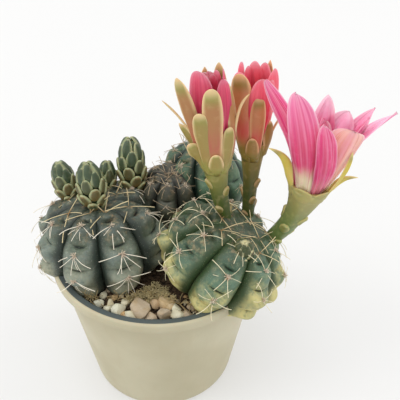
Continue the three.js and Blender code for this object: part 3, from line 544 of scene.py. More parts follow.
class Shape:
    """Points and faces gathered for one object, with a UV for each corner and values for
    each point. Sizes are millimetres until it is made."""

    def __init__(self):
        self.points, self.faces, self.uvs, self.values, self.count = [], [], [], {}, 0

    def add(self, points, faces, uv=None, **values):
        """Adds a patch. uv is one pair for each point; a value is a number or an array."""
        points = np.asarray(points, float).reshape(-1, 3)
        uv = np.zeros((len(points), 2)) if uv is None else np.asarray(uv).reshape(-1, 2)
        self.faces += [[self.count + i for i in face] for face in faces]
        self.uvs += [uv[i] for face in faces for i in face]
        for key, value in values.items():
            part = np.broadcast_to(np.ravel(value) if np.ndim(value) else value, len(points))
            self.values.setdefault(key, []).append((self.count, part))
        self.points.append(points)
        self.count += len(points)

    def make(self, name, material):
        """The finished object, smooth, at the origin, in metres."""
        mesh = bpy.data.meshes.new(name)
        mesh.from_pydata((np.concatenate(self.points) * MM).tolist(), [], self.faces)
        mesh.uv_layers.new(name="UVMap").data.foreach_set("uv", np.ravel(self.uvs))
        for key, parts in self.values.items():
            whole = np.zeros(self.count)
            for start, part in parts:
                whole[start:start + len(part)] = part
            mark(mesh, key, whole)
        mesh.shade_smooth()
        mesh.materials.append(material)
        return new_object(name, mesh)


def grid_faces(rows, columns, wrap=False):
    """Quads over rows of points; the last column joins the first where it wraps."""
    last = columns if wrap else columns - 1
    return [[r * columns + c, r * columns + (c + 1) % columns,
             (r + 1) * columns + (c + 1) % columns, (r + 1) * columns + c]
            for r in range(rows - 1) for c in range(last)]


def add_tube(shape, rings, top=None, foot=None, **values):
    """Skins rings of points of one length, with a fan to a point at either end. The rings
    run from the foot up and turn left about the way up."""
    rings = np.asarray(rings, float)
    rows, columns = rings.shape[:2]
    points = rings.reshape(-1, 3)
    faces = grid_faces(rows, columns, True)
    ahead = np.repeat(np.linspace(0, 1, rows), columns)
    uv = np.stack([np.tile(np.arange(columns) / columns, rows), ahead], 1)
    for tip, row in ((foot, 0), (top, rows - 1)):
        if tip is None:
            continue
        first = row * columns
        uv = np.vstack([uv, [[0.5, ahead[first]]]])
        for c in range(columns):
            pair = [first + c, first + (c + 1) % columns]
            faces.append((pair if row else pair[::-1]) + [len(points)])
        points = np.vstack([points, tip])
    values = {k: (v if np.ndim(v) == 0 else np.append(v, [v[-1]] * (len(uv) - len(v))))
              for k, v in values.items()}
    shape.add(points, faces, uv, **values)


def add_blade(shape, axes, turn, meridian, width_at, half_thickness, rows, columns=9,
              sweep=0.0, yaw=0.0, groove=0.0, wave=0.0, pleat=0.0, seed=0, least=0.6, **values):
    """A closed blade on a bell. `meridian` gives its middle line as radius and height for
    0 to 1, `sweep` turns it about the flower by its tip, and `yaw` turns its face, all in
    degrees. Its two faces meet along its edges; `groove` sinks its middle line inwards,
    `wave` ripples its edges and `pleat` folds it lengthwise."""
    turn, sweep, yaw = math.radians(turn), math.radians(sweep), math.radians(yaw)
    v = 1 - (1 - np.linspace(0, 1, rows)) ** 1.7

    def turned(t):
        return turn + sweep * np.clip(t, 0, None) ** 1.3

    def middle(t):
        radius, height = meridian(t)
        return axes.around(radius, turned(t), height)
    centre = middle(v)
    tangent = middle(v + 0.01) - middle(v - 0.01)
    tangent /= np.linalg.norm(tangent, axis=-1, keepdims=True)
    facing = axes.around(1, turned(v) + yaw * np.clip(v * 1.5, 0, 1), 0) - axes.origin
    facing = facing - (facing * tangent).sum(-1, keepdims=True) * tangent
    facing /= np.linalg.norm(facing, axis=-1, keepdims=True)
    side = np.cross(tangent, facing)[:, None]
    centre, facing, v = centre[:, None], facing[:, None], v[:, None]
    u = np.sin(np.linspace(-1, 1, columns)[None, :] * np.pi / 2)
    bow = np.maximum(meridian(v)[0], least)[..., None]
    span = (u * width_at(v) / 2)[..., None]
    phase = random.Random(seed).random() * 6
    arch = np.sin(np.pi * np.clip(v, 0, 1))
    lift = groove * (np.abs(u) ** 1.5 - 0.6) * arch ** 0.5
    lift = lift + wave * np.sin(v * 9 + phase + u) * u ** 2 * v
    lift = lift + pleat * np.cos(u * 7.5 + phase + v) * arch
    bulge = half_thickness * np.sqrt(np.clip(1 - u ** 2, 0, 1)) * np.clip((1 - v) * 8, 0, 1) ** 0.5
    sheet = centre + side * bow * np.sin(span / bow) + facing * bow * (np.cos(span / bow) - 1)
    outer, inner = ((sheet + facing * (lift + sign * bulge)[..., None]).reshape(-1, 3)
                    for sign in (1, -1))
    quads = grid_faces(rows, columns)
    index = np.arange(rows * columns).reshape(rows, columns)
    keep = index[1:-1, 1:-1].ravel()
    back = index.ravel().copy()
    back[keep] = index.size + np.arange(len(keep))
    edge = back < index.size
    uv = np.stack(np.broadcast_arrays((u + 1) / 2, v), -1).reshape(-1, 2)
    shape.add(np.vstack([np.where(edge[:, None], (outer + inner) / 2, outer), inner[keep]]),
              [quad[::-1] for quad in quads] + back[quads].tolist(), np.vstack([uv, uv[keep]]),
              inside=np.append(edge * 0.5, np.ones(len(keep))), **values)


def soft_noise(points, size, seed):
    """Smooth noise at each point, about -1 to 1, with lumps `size` wide."""
    shift = Vector((seed * 17.3, seed * 7.1, seed * 3.7))
    return np.array([noise.noise(Vector(p) / size + shift) for p in points])


def dress(piece, slot, *nodes):
    """Ties a finished piece to the frame: the body it rides on and its nodes. Its slot is not used.
    """
    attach(piece, "root")
    if nodes:
        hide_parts(*nodes)


# ---- geometry trees

def new_tree(name, **sockets):
    """An empty geometry tree with its inputs, each given by its default or its kind; gives
    a function that adds a node, the outputs of the inputs, and a function that ends it."""
    tree = bpy.data.node_groups.new(name, "GeometryNodeTree")
    tree.interface.new_socket("Geometry", in_out="INPUT", socket_type="NodeSocketGeometry")
    for label, value in sockets.items():
        kind = {int: "Int", float: "Float"}.get(type(value), value)
        made = tree.interface.new_socket(label, in_out="INPUT", socket_type="NodeSocket" + kind)
        if kind != value:
            made.default_value = value
    tree.interface.new_socket("Geometry", in_out="OUTPUT", socket_type="NodeSocketGeometry")

    def add(kind, sockets=None, **settings):
        return add_node(tree, kind, sockets, **settings)
    start = add("NodeGroupInput").outputs

    def end(instances):
        real = add("GeometryNodeRealizeInstances", {0: instances})
        smooth = add("GeometryNodeSetShadeSmooth", {0: real})
        painted = add("GeometryNodeSetMaterial", {0: smooth, "Material": start["Material"]})
        add("NodeGroupOutput", {0: painted})
        return tree
    return add, start, end


def grow(name, places, tree, slot, *nodes, **inputs):
    """Runs a geometry tree on a cloud of points, each with an outward and a downward
    direction, a size and perhaps a tint, and dresses the plain mesh that it makes."""
    mesh = bpy.data.meshes.new(name)
    mesh.from_pydata([tuple(p[0] * MM) for p in places], [], [])
    for key, values in zip(("outward", "down", "size", "tint"), list(zip(*places))[1:]):
        mark(mesh, key, values)
    made = new_object(name, mesh)
    modifier = made.modifiers.new(tree.name, "NODES")
    modifier.node_group = tree
    for item in tree.interface.items_tree:
        if item.in_out == "INPUT" and item.name in inputs:
            modifier[item.identifier] = inputs[item.name]
    apply_modifiers(made)
    dress(made, slot, *nodes)


def spine_tree():
    """A fan of tapered, bowed spines on each point, pressed down along the rib."""
    add, start, end = new_tree("spine_fan", Count=6, Length=6.6 * MM, Radius=0.2 * MM, Bow=0.2,
                               Fan=1.75, Rise=0.3, Jitter=0.2, Seed=1, Material="Material")
    outward, down, size = (
        add("GeometryNodeInputNamedAttribute", {"Name": key}, data_type=kind)
        for key, kind in (("outward", "FLOAT_VECTOR"), ("down", "FLOAT_VECTOR"), ("size", "FLOAT")))

    def calc(operation, one, other=None):
        return add("ShaderNodeMath", {0: one, 1: other}, operation=operation)

    def arrow(operation, one, other=None, scale=None):
        return add("ShaderNodeVectorMath", {0: one, 1: other, "Scale": scale},
                   operation=operation)

    def tilt(one, other, angle):
        return arrow("ADD", arrow("SCALE", one, scale=calc("COSINE", angle)),
                     arrow("SCALE", other, scale=calc("SINE", angle)))

    def chance(low, high, salt):
        seed = calc("ADD", start["Seed"], salt)
        return add("FunctionNodeRandomValue", {"Seed": seed, 2: low, 3: high},
                   data_type="FLOAT").outputs[1]

    copies = add("GeometryNodeDuplicateElements",
                 {"Geometry": start["Geometry"], "Amount": start["Count"]}, domain="POINT")
    last = calc("MAXIMUM", calc("SUBTRACT", start["Count"], 1), 1)
    share = calc("DIVIDE", copies.outputs[1], last)
    turn = calc("MULTIPLY", calc("SUBTRACT", calc("MULTIPLY", share, 2), 1), start["Fan"])
    turn = calc("ADD", turn, calc("MULTIPLY", chance(-1.2, 1.2, 1), start["Jitter"]))
    rise = calc("ADD", start["Rise"], calc("MULTIPLY", chance(-0.8, 1.2, 2), start["Jitter"]))
    lying = tilt(down, arrow("CROSS_PRODUCT", outward, down), turn)
    facing = add("FunctionNodeAxesToRotation", {0: tilt(lying, outward, rise), 1: outward},
                 primary_axis="Z", secondary_axis="X")
    swing = add("ShaderNodeCombineXYZ", {2: chance(-0.7, 0.7, 4)})
    facing = add("FunctionNodeRotateRotation", {0: facing, 1: swing}, rotation_space="LOCAL")
    bow = calc("MULTIPLY", start["Length"], start["Bow"])
    middle = add("ShaderNodeCombineXYZ", {0: bow, 2: calc("MULTIPLY", start["Length"], 0.6)})
    tip = add("ShaderNodeCombineXYZ", {2: start["Length"]})
    line = add("GeometryNodeCurveQuadraticBezier",
               {"Start": (0, 0, 0), "Middle": middle, "End": tip, "Resolution": 6})
    along = add("GeometryNodeSplineParameter")
    marked = add("GeometryNodeStoreNamedAttribute",
                 {"Geometry": line, "Value": along, "Name": "along"},
                 data_type="FLOAT", domain="POINT")
    taper = calc("SUBTRACT", 1, calc("MULTIPLY", calc("POWER", along, 1.6), 0.9))
    thin = add("GeometryNodeSetCurveRadius", {0: marked, "Radius": taper})
    edge = add("GeometryNodeCurvePrimitiveCircle", {"Radius": start["Radius"], "Resolution": 5})
    spine = add("GeometryNodeCurveToMesh",
                {"Curve": thin, "Profile Curve": edge, "Fill Caps": True})
    return end(add("GeometryNodeInstanceOnPoints", {
        "Points": copies, "Instance": spine, "Rotation": facing,
        "Scale": calc("MULTIPLY", size, chance(0.62, 1.15, 3))}))


# ---- heads

def head_axes(head):
    """The head's own directions: z out of the crown."""
    lean, to = math.radians(head["lean"]), math.radians(head["lean_to"])
    axis = (math.sin(lean) * math.cos(to), math.sin(lean) * math.sin(to), math.cos(lean))
    axes = Axes(head["centre"], axis)
    turn = Vector((0, 0, 1)).rotation_difference(Vector(axis)).to_matrix()
    axes.x, axes.y = (np.array(turn @ Vector(way)) for way in ((1, 0, 0), (0, 1, 0)))
    return axes


def skin(head, index, across, angle):
    """Points of a head's skin and what its colours need. `across` is -1 and 1 in the
    furrows beside rib `index` and 0 on its ridge; `angle` is from the crown, in degrees."""
    ribs, step = head["ribs"], head["step"]
    facing, first = ribs[index]
    ahead = (ribs[(index + 1) % len(ribs)][0] - facing) % 360
    behind = (facing - ribs[index - 1][0]) % 360
    turn = np.radians(facing + across * np.where(across > 0, ahead, behind) / 2)
    theta = np.radians(angle)
    furrow = 1 - np.sqrt(1 - 0.97 * np.clip(np.abs(across), 0, 1) ** 2)
    below = angle - first + FOLD_ABOVE
    # A step runs from one fold to the next: the skin rises out of the fold, stands out in
    # a chin and slopes in again. The fold fades towards the furrows at its sides.
    along = (below / step) % 1
    risen, sloping, chin_at = 0.26, 0.62, 0.4
    fold = np.where(along < risen, 1 - along / risen,
                    np.clip((along - sloping) / (1 - sloping), 0, 1) ** 2)
    centred = np.clip(1 - (across / 0.75) ** 2, 0, 1)
    reach = np.clip((below + 5) / 5, 0, 1) * np.clip((LAST_FOLD - angle) / 6, 0, 1)
    from_fold = (along + 0.5) % 1 - 0.5 + 0.08 * across ** 2
    mouth = np.clip(1 - (across / 0.42) ** 2, 0, 1) ** 0.7
    notch = np.exp(-(from_fold * step / 1.3) ** 2) * mouth
    chin = np.exp(-((along - chin_at) / 0.24) ** 2) * np.clip(1 - across ** 2, 0, 1) ** 1.2
    sunk = (FOLD_DEPTH * fold * centred + 0.75 * notch - chin) * reach * head["radius"] / 19
    radius = head["radius"] * np.sin(theta) * (1 - RIB_DEPTH * np.sin(theta) ** 0.5 * furrow)
    half = np.where(angle < 90, head["up"], head["low"])
    height = half * np.cos(theta) - CROWN_DIMPLE * np.exp(-((theta / 0.3) ** 2))
    axes = head_axes(head)
    outward = axes.around(np.sin(theta), turn, np.cos(theta)) - axes.origin
    points = axes.around(radius, turn, height) - outward * np.asarray(sunk)[..., None]
    # Beside the points and outward directions, it gives the masks for the painted shade in the
    # furrows and in the fold, and for the painted highlight on the chin.
    return points, outward, furrow * np.clip(angle / 25, 0, 1), notch * reach, chin * reach


def make_head(name, head, material):
    """A head's flesh: broad ribs with a fold above each areole, and a lumpy skin."""
    across = np.sin(np.linspace(-1, 1, 25)[:-1] * np.pi / 2)
    angles = np.concatenate([np.linspace(2, 130, 165), np.linspace(134, 172, 8)])[::-1, None]
    parts = [skin(head, i, across[None, :], angles) for i in range(len(head["ribs"]))]
    rings, outward, furrows, fold_shade_mask, chin_highlight_mask = (
        np.concatenate([np.broadcast_to(p[k], p[0].shape if k < 2 else p[0].shape[:2])
                        for p in parts], 1) for k in range(5))
    flat = rings.reshape(-1, 3)
    tops = (head["centre"][2] + head["up"] - flat[:, 2]) / (head["up"] + head["low"])
    angles = np.broadcast_to(angles, furrows.shape).ravel()
    lump = 0.6 * soft_noise(flat, 7, head["seed"]) + 0.2 * soft_noise(flat, 2.6, head["seed"])
    lump = lump * np.clip(angles / 12, 0, 1)
    rings = (flat + outward.reshape(-1, 3) * lump[:, None]).reshape(rings.shape)
    axes = head_axes(head)
    shape = Shape()
    # The furrow, fold and chin values are masks for painted shade in the furrows and the fold, and
    # for a painted highlight on the chin.
    add_tube(shape, rings, top=axes.point(0, 0, head["up"] - CROWN_DIMPLE),
             foot=axes.point(0, 0, -head["low"]), furrow=furrows.ravel(), fold=fold_shade_mask.ravel(),
             low=0.3 * (angles / 180) + 0.7 * tops, chin=chin_highlight_mask.ravel())
    dress(shape.make(name + "_skin", material), SLOTS[head["skin"]], name)


def areoles(head, crown=False):
    """Where a head's areoles are: point, outward and downward directions."""
    found = []
    step, beside, below, above_soil = head["step"], 0.15, 6, 2
    for index, (_, first) in enumerate(head["ribs"]):
        def at(across, angle):
            return skin(head, index, np.array(across), np.array(float(angle)))[0]
        for angle in [first - step * 0.62] if crown else [first + k * step for k in range(4)]:
            here = at(0.0, angle)
            if angle > LAST_AREOLE or here[2] < SOIL_TOP + above_soil:
                continue
            down = at(0.0, angle + below) - here
            down /= np.linalg.norm(down)
            outward = np.cross(down, at(beside, angle) - at(-beside, angle))
            outward /= np.linalg.norm(outward)
            if outward @ (here - head_axes(head).origin) < 0:
                outward = -outward
            found.append((here, outward, down))
    return found


# ---- flowers

def flower_axes(flower):
    """The throat's own directions: z out of the flower."""
    return Axes(flower["throat"], np.subtract(flower["up"], flower["throat"]))


def bell(flower, low, high, reach, droop, out):
    """The middle line of a sepal from its foot on the flower's bell to its own tip, as a
    function of 0 to 1. `droop` arches it over, `out` holds it off the bell."""
    bends_from, arches_from, arch = 0.25, 0.45, 13 * droop

    def wall(height):
        share = np.clip(height / flower["length"], 0, None)
        return flower["foot"] + (flower["mouth"] - flower["foot"]) * share ** flower["bend"]

    def meridian(t):
        height = low + (high - low) * t
        bent = np.clip((t - bends_from) / (1 - bends_from), 0, None) ** (2 + 2 * droop)
        over = arch * np.clip(t - arches_from, 0, 1) * np.clip(1 - t, 0, 1)
        away = (reach - wall(high)) * bent
        return wall(height) + out + 0.2 * np.minimum(height, 0) + away, height + over
    return meridian


def tube_line(flower):
    """The middle of a flower's tube and its direction, as a function of 0 to 1."""
    base, throat = np.array(flower["base"], float), np.array(flower["throat"], float)
    bend = throat - flower_axes(flower).z * np.linalg.norm(throat - base) / 2

    def at(t):
        place = base * (1 - t) ** 2 + bend * 2 * t * (1 - t) + throat * t ** 2
        return Axes(place, (bend - base) * 2 * (1 - t) + (throat - bend) * 2 * t)
    return at


def tube_radius(flower, t):
    """The radius of a flower's tube: slim at the foot, widening to the throat."""
    low, middle, high = flower["tube"]
    if t < 0.5:
        return low + (middle - low) * t * 2
    return middle + (high - middle) * (t * 2 - 1) ** 1.4


def spoon(width, length, foot=0.6, point=0):
    """The width of a sepal or scale from foot to tip: nearly even, with a round end, or a
    pointed one where `point` is 1."""
    end = max(2.2, 1.9 * length / width) * (1 - 0.6 * point)
    return lambda t: (width * np.minimum(foot + 0.75 * t, 1) *
                      np.clip(1 - t ** end, 0, 1) ** (0.5 + 0.5 * point))


def lance(width, foot, end):
    """The width of a petal from foot to tip: narrow, widest past its middle, pointed."""
    return lambda t: (width * np.minimum(foot + 1.05 * t, 1) *
                      np.clip(1 - t ** end, 0, 1) ** (0.85 - 0.06 * end))


def make_tube(name, flower, material):
    """The green tube with its scales, and the sepals that stand round the throat."""
    shape = Shape()
    line, top, turns = tube_line(flower), flower_axes(flower), ring(40)
    start = -0.06
    stations = np.linspace(start, 1, 26)
    rings = [line(t).around(tube_radius(flower, max(t, 0)) *
                            (1 + 0.03 * np.cos(turns * 5 + t * 5)), turns, 0)
             for t in stations]
    # The mouth turns in and runs down as the hollow that the petals stand in.
    room = flower["foot"] - 1
    hollow = ((flower["tube"][2] - 0.1, 0.35), (room + 0.4, 0.5), (room, 0), (room - 0.4, -2.5),
              (0.8, -3.4))
    rings += [top.around(radius, turns, height) for radius, height in hollow]
    heights = np.append(np.clip(stations, 0, 1), np.ones(len(hollow)))
    add_tube(shape, rings, top=top.point(0, 0, -3.5), foot=line(start).origin,
             height=0.85 * np.repeat(heights, len(turns)), leafy=0, blush=0)
    for t, turn, width, tall in flower["scales"]:
        def meridian(v):
            return tube_radius(flower, t) - 0.5 + 0.85 * v + 0.35 * v ** 4, tall * (v - 0.3)
        add_blade(shape, line(t), turn, meridian, spoon(width * 1.2, tall, 0.7), 0.7, rows=12,
                  height=0.3 + 0.6 * t, leafy=0.4, blush=0)
    # A collar sepal is thin and lies close to the mouth; a short one has a broad foot, and
    # stands off where it isn't a collar one. A sepal narrower than `dry` has dried up.
    collar, short, dry = 2.5, 5, 1.5
    for turn, sweep, height, reach, width, yaw, low, droop, point in flower["sepals"]:
        thick = (0.25 + width * 0.06) * (0.5 if height < collar else 1)
        out = 0.8 if collar < height < short else 0.15
        add_blade(shape, top, turn, bell(flower, low, height, reach, droop, out),
                  spoon(width, height - low, 0.5 if height > short else 0.8, point), thick,
                  rows=26, columns=11, sweep=sweep, yaw=yaw, groove=0.1, least=2, height=1,
                  leafy=1 if height > collar else 0.35, dry=float(width < dry),
                  blush=min(max((height - flower["flush"]) / 6, 0), 1))
    dress(shape.make(name + "_green", material), "flower_green", name + "_tube")


def petal_line(flower, height, reach, inset, bend):
    """The middle line of a petal from inside the throat to its own tip."""
    start = flower["foot"] - inset

    def meridian(t):
        up = t * (height + 3) - 3
        s = np.clip(up / height, 0, None)
        swell = flower["belly"] * np.sin(np.pi * np.clip(s, 0, 1)) ** 0.8
        return start + (reach - start) * s ** bend + swell, up
    return meridian


def make_petals(name, flower, material):
    """The petals, overlapping, with grooved middles and rippled edges. An outer petal has
    a wider foot."""
    shape = Shape()
    rng = random.Random(flower["seed"] + 1)
    axes = flower_axes(flower)
    for turn, sweep, height, reach, width, yaw, inset, bend, end, tint in flower["petals"]:
        add_blade(shape, axes, turn, petal_line(flower, height, reach, inset, bend),
                  lance(width, 0.62 - 0.12 * inset, end), 0.16, rows=28, columns=21,
                  sweep=sweep, yaw=yaw, groove=0.3, wave=flower["ripple"],
                  pleat=flower["pleat"], seed=rng.random(), least=2, tint=tint)
    dress(shape.make(name + "_petal_whorl", material), "petal", name + "_petals")


def make_stamens(name, flower, material):
    """The style with its lobed tip in a brush of stamens, each with its anther."""
    shape = Shape()
    rng = random.Random(flower["seed"] + 2)
    axes = flower_axes(flower)
    tall, wide, foot = flower["length"] * 0.46, flower["mouth"] / 7, -2.4
    stamens, lobes, turns = 34, 7, ring(6)
    for i in range(stamens):
        spread = (0.35 + 0.65 * rng.random()) * wide
        height = tall * (0.5 + 0.45 * rng.random())
        line = [axes.around(0.5 + (spread - 0.5) * v ** 1.3, math.radians(i * GOLDEN),
                            foot + (height - foot) * v) for v in np.linspace(0, 1, 5)]
        rings = [Axes(p, axes.z).around(0.11, turns, 0) for p in line]
        tip = Axes(line[-1], axes.z)
        rings += [tip.around(r, turns, h) for r, h in ((0.3, 0.1), (0.34, 0.4), (0.2, 0.7))]
        add_tube(shape, rings, top=tip.point(0, 0, 0.8), foot=line[0])
    style = ((0.5, foot), (0.4, tall * 0.5), (0.42, tall * 0.9))
    add_tube(shape, [axes.around(r, ring(10), h) for r, h in style],
             top=axes.point(0, 0, tall * 0.93), foot=axes.point(0, 0, -2.5))

    def lobe(v):
        return 0.15 + v, tall * 0.9 + 1.1 * v - 0.5 * v ** 2
    for i in range(lobes):
        add_blade(shape, axes, i / lobes * 360, lobe, spoon(0.6, 1.2, 0.9), 0.2, rows=5, columns=5)
    dress(shape.make(name + "_stamen_brush", material), "stamen", name + "_stamens")


# ---- buds

def bud_radius(radius, t):
    """The radius of a bud at a share of its height."""
    swollen = 0.55 + 0.45 * np.sin(np.clip(np.clip(t, 0, None) * 2, 0, 1) * np.pi / 2)
    tapered = np.sqrt(np.clip(1 - np.clip((t - 0.4) / 0.62, 0, None) ** 2, 0.0004, 1))
    return radius * swollen * tapered


def make_bud(name, bud, material):
    """A closed bud: thick blunt scales in a spiral over a core, as tiles on a roof."""
    base, tip, radius, count, whorls = bud
    shape = Shape()
    length = np.linalg.norm(np.subtract(tip, base))
    axes = Axes(base, np.subtract(tip, base))
    rings = [axes.around(bud_radius(radius, t) * 0.8, ring(20), t * length)
             for t in np.linspace(0, 0.97, 14)]
    add_tube(shape, rings, top=axes.point(0, 0, length * 0.98), foot=axes.point(0, 0, -0.2),
             height=0.9, leafy=0, blush=0)
    rng = random.Random(name)
    count = count * whorls + 6
    for i in range(count):
        share = i / (count - 1)  # 0 for the lowest scale, 1 for the highest
        start = 0.01 + 0.77 * share
        tall = min((2.5 + 2.2 * share + 0.3 * radius) / length, 1.02 - start)

        def meridian(v):
            t = start + tall * v
            lift = (0.7 - 0.5 * start) * v ** 2 * np.clip(3 * (1 - t), 0, 1)
            return bud_radius(radius, t) * (0.86 + 0.14 * np.clip(v * 2, 0, 1)) + lift, t * length
        middle = float(bud_radius(radius, start + tall * 0.45))
        width = min((1.35 + 0.45 * share) * middle, 4.2) * (0.92 + 0.16 * rng.random())
        add_blade(shape, axes, i * GOLDEN, meridian, spoon(width, tall * length), 0.6, rows=13,
                  columns=11, least=1.3, height=min(share * 1.15, 1), leafy=1,
                  blush=2 * max(0, 0.5 - share))
    dress(shape.make(name + "_scales", material), "bud_scale", name)


# ---- pot, soil and stones

def arc(x, y, radius, start, end, steps):
    """Points of an arc in a section, from one angle to another, in degrees."""
    return [(x + radius * math.cos(a), y + radius * math.sin(a))
            for a in np.radians(np.linspace(start, end, steps))]


def make_pot(settings, material):
    """The pot: a rolled rim, a tapered wall and a floor with drainage holes."""
    rim, height, wall = settings.rim_radius / MM, settings.height / MM, settings.wall / MM
    top, foot, lip = settings.wall_top_radius / MM, settings.foot_radius / MM, 3.2
    lip_foot = height - lip
    inside = top - wall + (top - foot) * lip / lip_foot * 0.9
    section = [(0.001, 0), (foot - 4.2, 0), (foot - 4, 0.35), (foot - 3.4, 0.35), (foot - 3.2, 0)]
    section += arc(foot - 1.6, 1.6, 1.6, -90, -8, 8)
    section += [(foot + (top - foot) * k / 12, 1.6 + (lip_foot - 2) * k / 12)
                for k in range(1, 12)]
    section += arc(top + 0.5, lip_foot - 0.5, 0.5, 170, 95, 4)
    section += arc(rim - 0.6, lip_foot + 0.6, 0.6, -90, 0, 5)
    section += arc(rim - 0.8, height - 0.8, 0.8, 8, 90, 7)
    lining = len(section)
    section += [(rim - 0.84, height)] + arc(inside + 0.7, height - 0.7, 0.7, 90, 180, 6)
    section += [(foot - wall + (inside - foot + wall) * k / 6, 3.6 + (height - 4.6) * k / 6)
                for k in range(5, -1, -1)]
    section += [(foot - wall - 1.6, FLOOR), (0.001, FLOOR)]
    turns = ring(128)
    axes = Axes((0, 0, 0), (0, 0, 1))
    inner = [float(i >= lining and z > 2) for i, (_, z) in enumerate(section)]
    shape = Shape()
    add_tube(shape, [axes.around(r, turns, z) for r, z in section],
             inner=np.repeat(inner, len(turns)))
    made = shape.make("pot_shell", material)
    cutters = []
    holes, hole_radius, hole_reach = 5, 2.4 * MM, 15 * MM
    for turn in ring(holes):
        bpy.ops.mesh.primitive_cylinder_add(
            vertices=32, radius=hole_radius, depth=8 * MM,
            location=(hole_reach * math.cos(turn), hole_reach * math.sin(turn), 0))
        cutters.append(bpy.context.object)
        cut = made.modifiers.new("hole", "BOOLEAN")
        cut.object, cut.operation = bpy.context.object, "DIFFERENCE"
    apply_modifiers(made)
    for cutter in cutters:
        bpy.data.objects.remove(cutter)
    dress(made, "pot_plastic", "pot")


def wall_radius(height):
    """The inner radius of the pot's wall at a height."""
    share = (height - FLOOR) / (RIM_FOOT - FLOOR)
    return FOOT_RADIUS + (WALL_TOP - FOOT_RADIUS) * share - WALL


def make_soil(material):
    """Peat: a lumpy disc inside the pot, down to the floor."""
    shape = Shape()
    axes = Axes((0, 0, 0), (0, 0, 1))
    turns = ring(120)
    bottom, gap = 1.95, 0.4
    rings = [axes.around(wall_radius(3) - 1.8, turns, bottom)]
    rings += [axes.around(wall_radius(z) - gap, turns, min(z, SOIL_TOP - 0.6))
              for z in (4, 24, SOIL_TOP)]
    for radius in np.linspace(wall_radius(SOIL_TOP) - 0.7, 0.6, 44):
        flat = axes.around(radius, turns, SOIL_TOP)
        flat[:, 2] += 0.75 * soft_noise(flat, 3.2, 1) + 0.4 * soft_noise(flat, 1.2, 2)
        rings.append(flat)
    add_tube(shape, rings, top=(0, 0, SOIL_TOP), foot=(0, 0, bottom))
    dress(shape.make("peat_bed", material), "peat", "soil")


def stone_object(name, seed):
    """One broken pebble of 1 mm radius: the hull of a few points, its edges worn round."""
    rng = random.Random(seed)
    form = bmesh.new()
    corners, worn = 14, 0.11 * MM
    for _ in range(corners):
        way = Vector((rng.gauss(0, 1), rng.gauss(0, 1), rng.gauss(0, 1))).normalized()
        form.verts.new(way * rng.uniform(0.9, 1.08) * MM)
    bmesh.ops.convex_hull(form, input=form.verts[:])
    loose = [v for v in form.verts if not v.link_faces]
    bmesh.ops.delete(form, geom=loose, context="VERTS")
    bmesh.ops.dissolve_limit(form, angle_limit=0.35, verts=form.verts[:], edges=form.edges[:])
    bmesh.ops.bevel(form, geom=form.edges[:], offset=worn, segments=2, profile=0.5,
                    affect="EDGES", clamp_overlap=True)
    bmesh.ops.recalc_face_normals(form, faces=form.faces[:])
    mesh = bpy.data.meshes.new(name)
    form.to_mesh(mesh)
    form.free()
    mesh.shade_smooth()
    return bpy.data.objects.new(name, mesh)


def stone_tree():
    """A pebble of the given kinds on each point, turned any way, in its own tint."""
    add, start, end = new_tree("pebbles", Kinds="Collection", Flatness=0.8, Seed=1,
                               Material="Material")
    size = add("GeometryNodeInputNamedAttribute", {"Name": "size"}, data_type="FLOAT")
    kinds = add("GeometryNodeCollectionInfo", {
        "Collection": start["Kinds"], "Separate Children": True, "Reset Children": True})
    turn = add("FunctionNodeRandomValue",
               {"Seed": start["Seed"], 0: (-0.35, -0.35, 0), 1: (0.35, 0.35, 6.28)},
               data_type="FLOAT_VECTOR")
    flat = add("ShaderNodeCombineXYZ", {0: 1.15, 1: 0.95, 2: start["Flatness"]})
    scale = add("ShaderNodeVectorMath", {0: flat, "Scale": size}, operation="SCALE")
    pick = add("FunctionNodeRandomValue", {"Seed": start["Seed"], 4: 0, 5: 5}, data_type="INT")
    return end(add("GeometryNodeInstanceOnPoints", {
        "Points": start["Geometry"], "Instance": kinds, "Rotation": turn, "Scale": scale,
        "Instance Index": pick.outputs[2], "Pick Instance": True}))


def stone_places(low, high, radii, sizes, seed, laid):
    """Where the pebbles of a band beside the wall lie on the peat, the laid ones first."""
    rng = random.Random(seed)
    placed = []
    tries, crowding, laid_reach, loose_reach = 5000, 0.92, 28.9, 28.6
    for x, y, width, tint in laid:
        back = min(1, (laid_reach - width / 2) / math.hypot(x, y))
        placed.append((np.array([x * back, y * back, SOIL_TOP + width * 0.3]),
                       (0, 0, 1), (1, 0, 0), width / 2, tint))
    for _ in range(tries):
        size = rng.uniform(*sizes)
        turn = math.radians(rng.uniform(low, high))
        away = min(math.sqrt(rng.uniform(radii[0] ** 2, radii[1] ** 2)), loose_reach - size)
        place = np.array([away * math.cos(turn), away * math.sin(turn), SOIL_TOP + size * 0.5])
        if all(np.linalg.norm(place[:2] - other[0][:2]) > (size + other[3]) * crowding
               for other in placed):
            placed.append((place, (0, 0, 1), (1, 0, 0), size, rng.random()))
    return placed


def make_litter(root, moss):
    """Dry root fibres and tufts of moss on the peat among the stones."""
    rng = random.Random(41)
    for name, count, tall, paint, spots, above in (
            ("root_fibres", 7, 4.2, root, FIBRES, 0.4), ("moss_tufts", 34, 1.9, moss, MOSS, 0.9)):
        places = [(np.array([x, y, SOIL_TOP + (above + rng.random() * 0.8)]), (0, 0, 1),
                   (0, -1, 0), 1.0) for x, y in spots]
        grow(name, places, spine_tree(), "peat", Count=count, Length=tall * MM,
             Radius=0.09 * MM, Fan=3.1, Rise=0.35, Bow=0.35, Jitter=0.9, Seed=5, Material=paint)


# ---- settings

def length_setting(name, description, default):
    """A length that a user may change."""
    return bpy.props.FloatProperty(name=name, description=description, default=default * MM,
                                   unit="LENGTH")


def place_setting(name, description, default):
    """A place that a user may change."""
    return bpy.props.FloatVectorProperty(name=name, description=description, default=default,
                                         subtype="TRANSLATION", unit="LENGTH")


class CactusSettings(bpy.types.PropertyGroup):
    """Sizes and colours of the plant that a user may change."""
    spine_radius: length_setting("Spine radius", "Radius of a spine at its root", 0.105)
    spine_color: bpy.props.StringProperty(
        name="Spine colour", description="sRGB hex code of a spine's shaft", default="#ebe3cf")


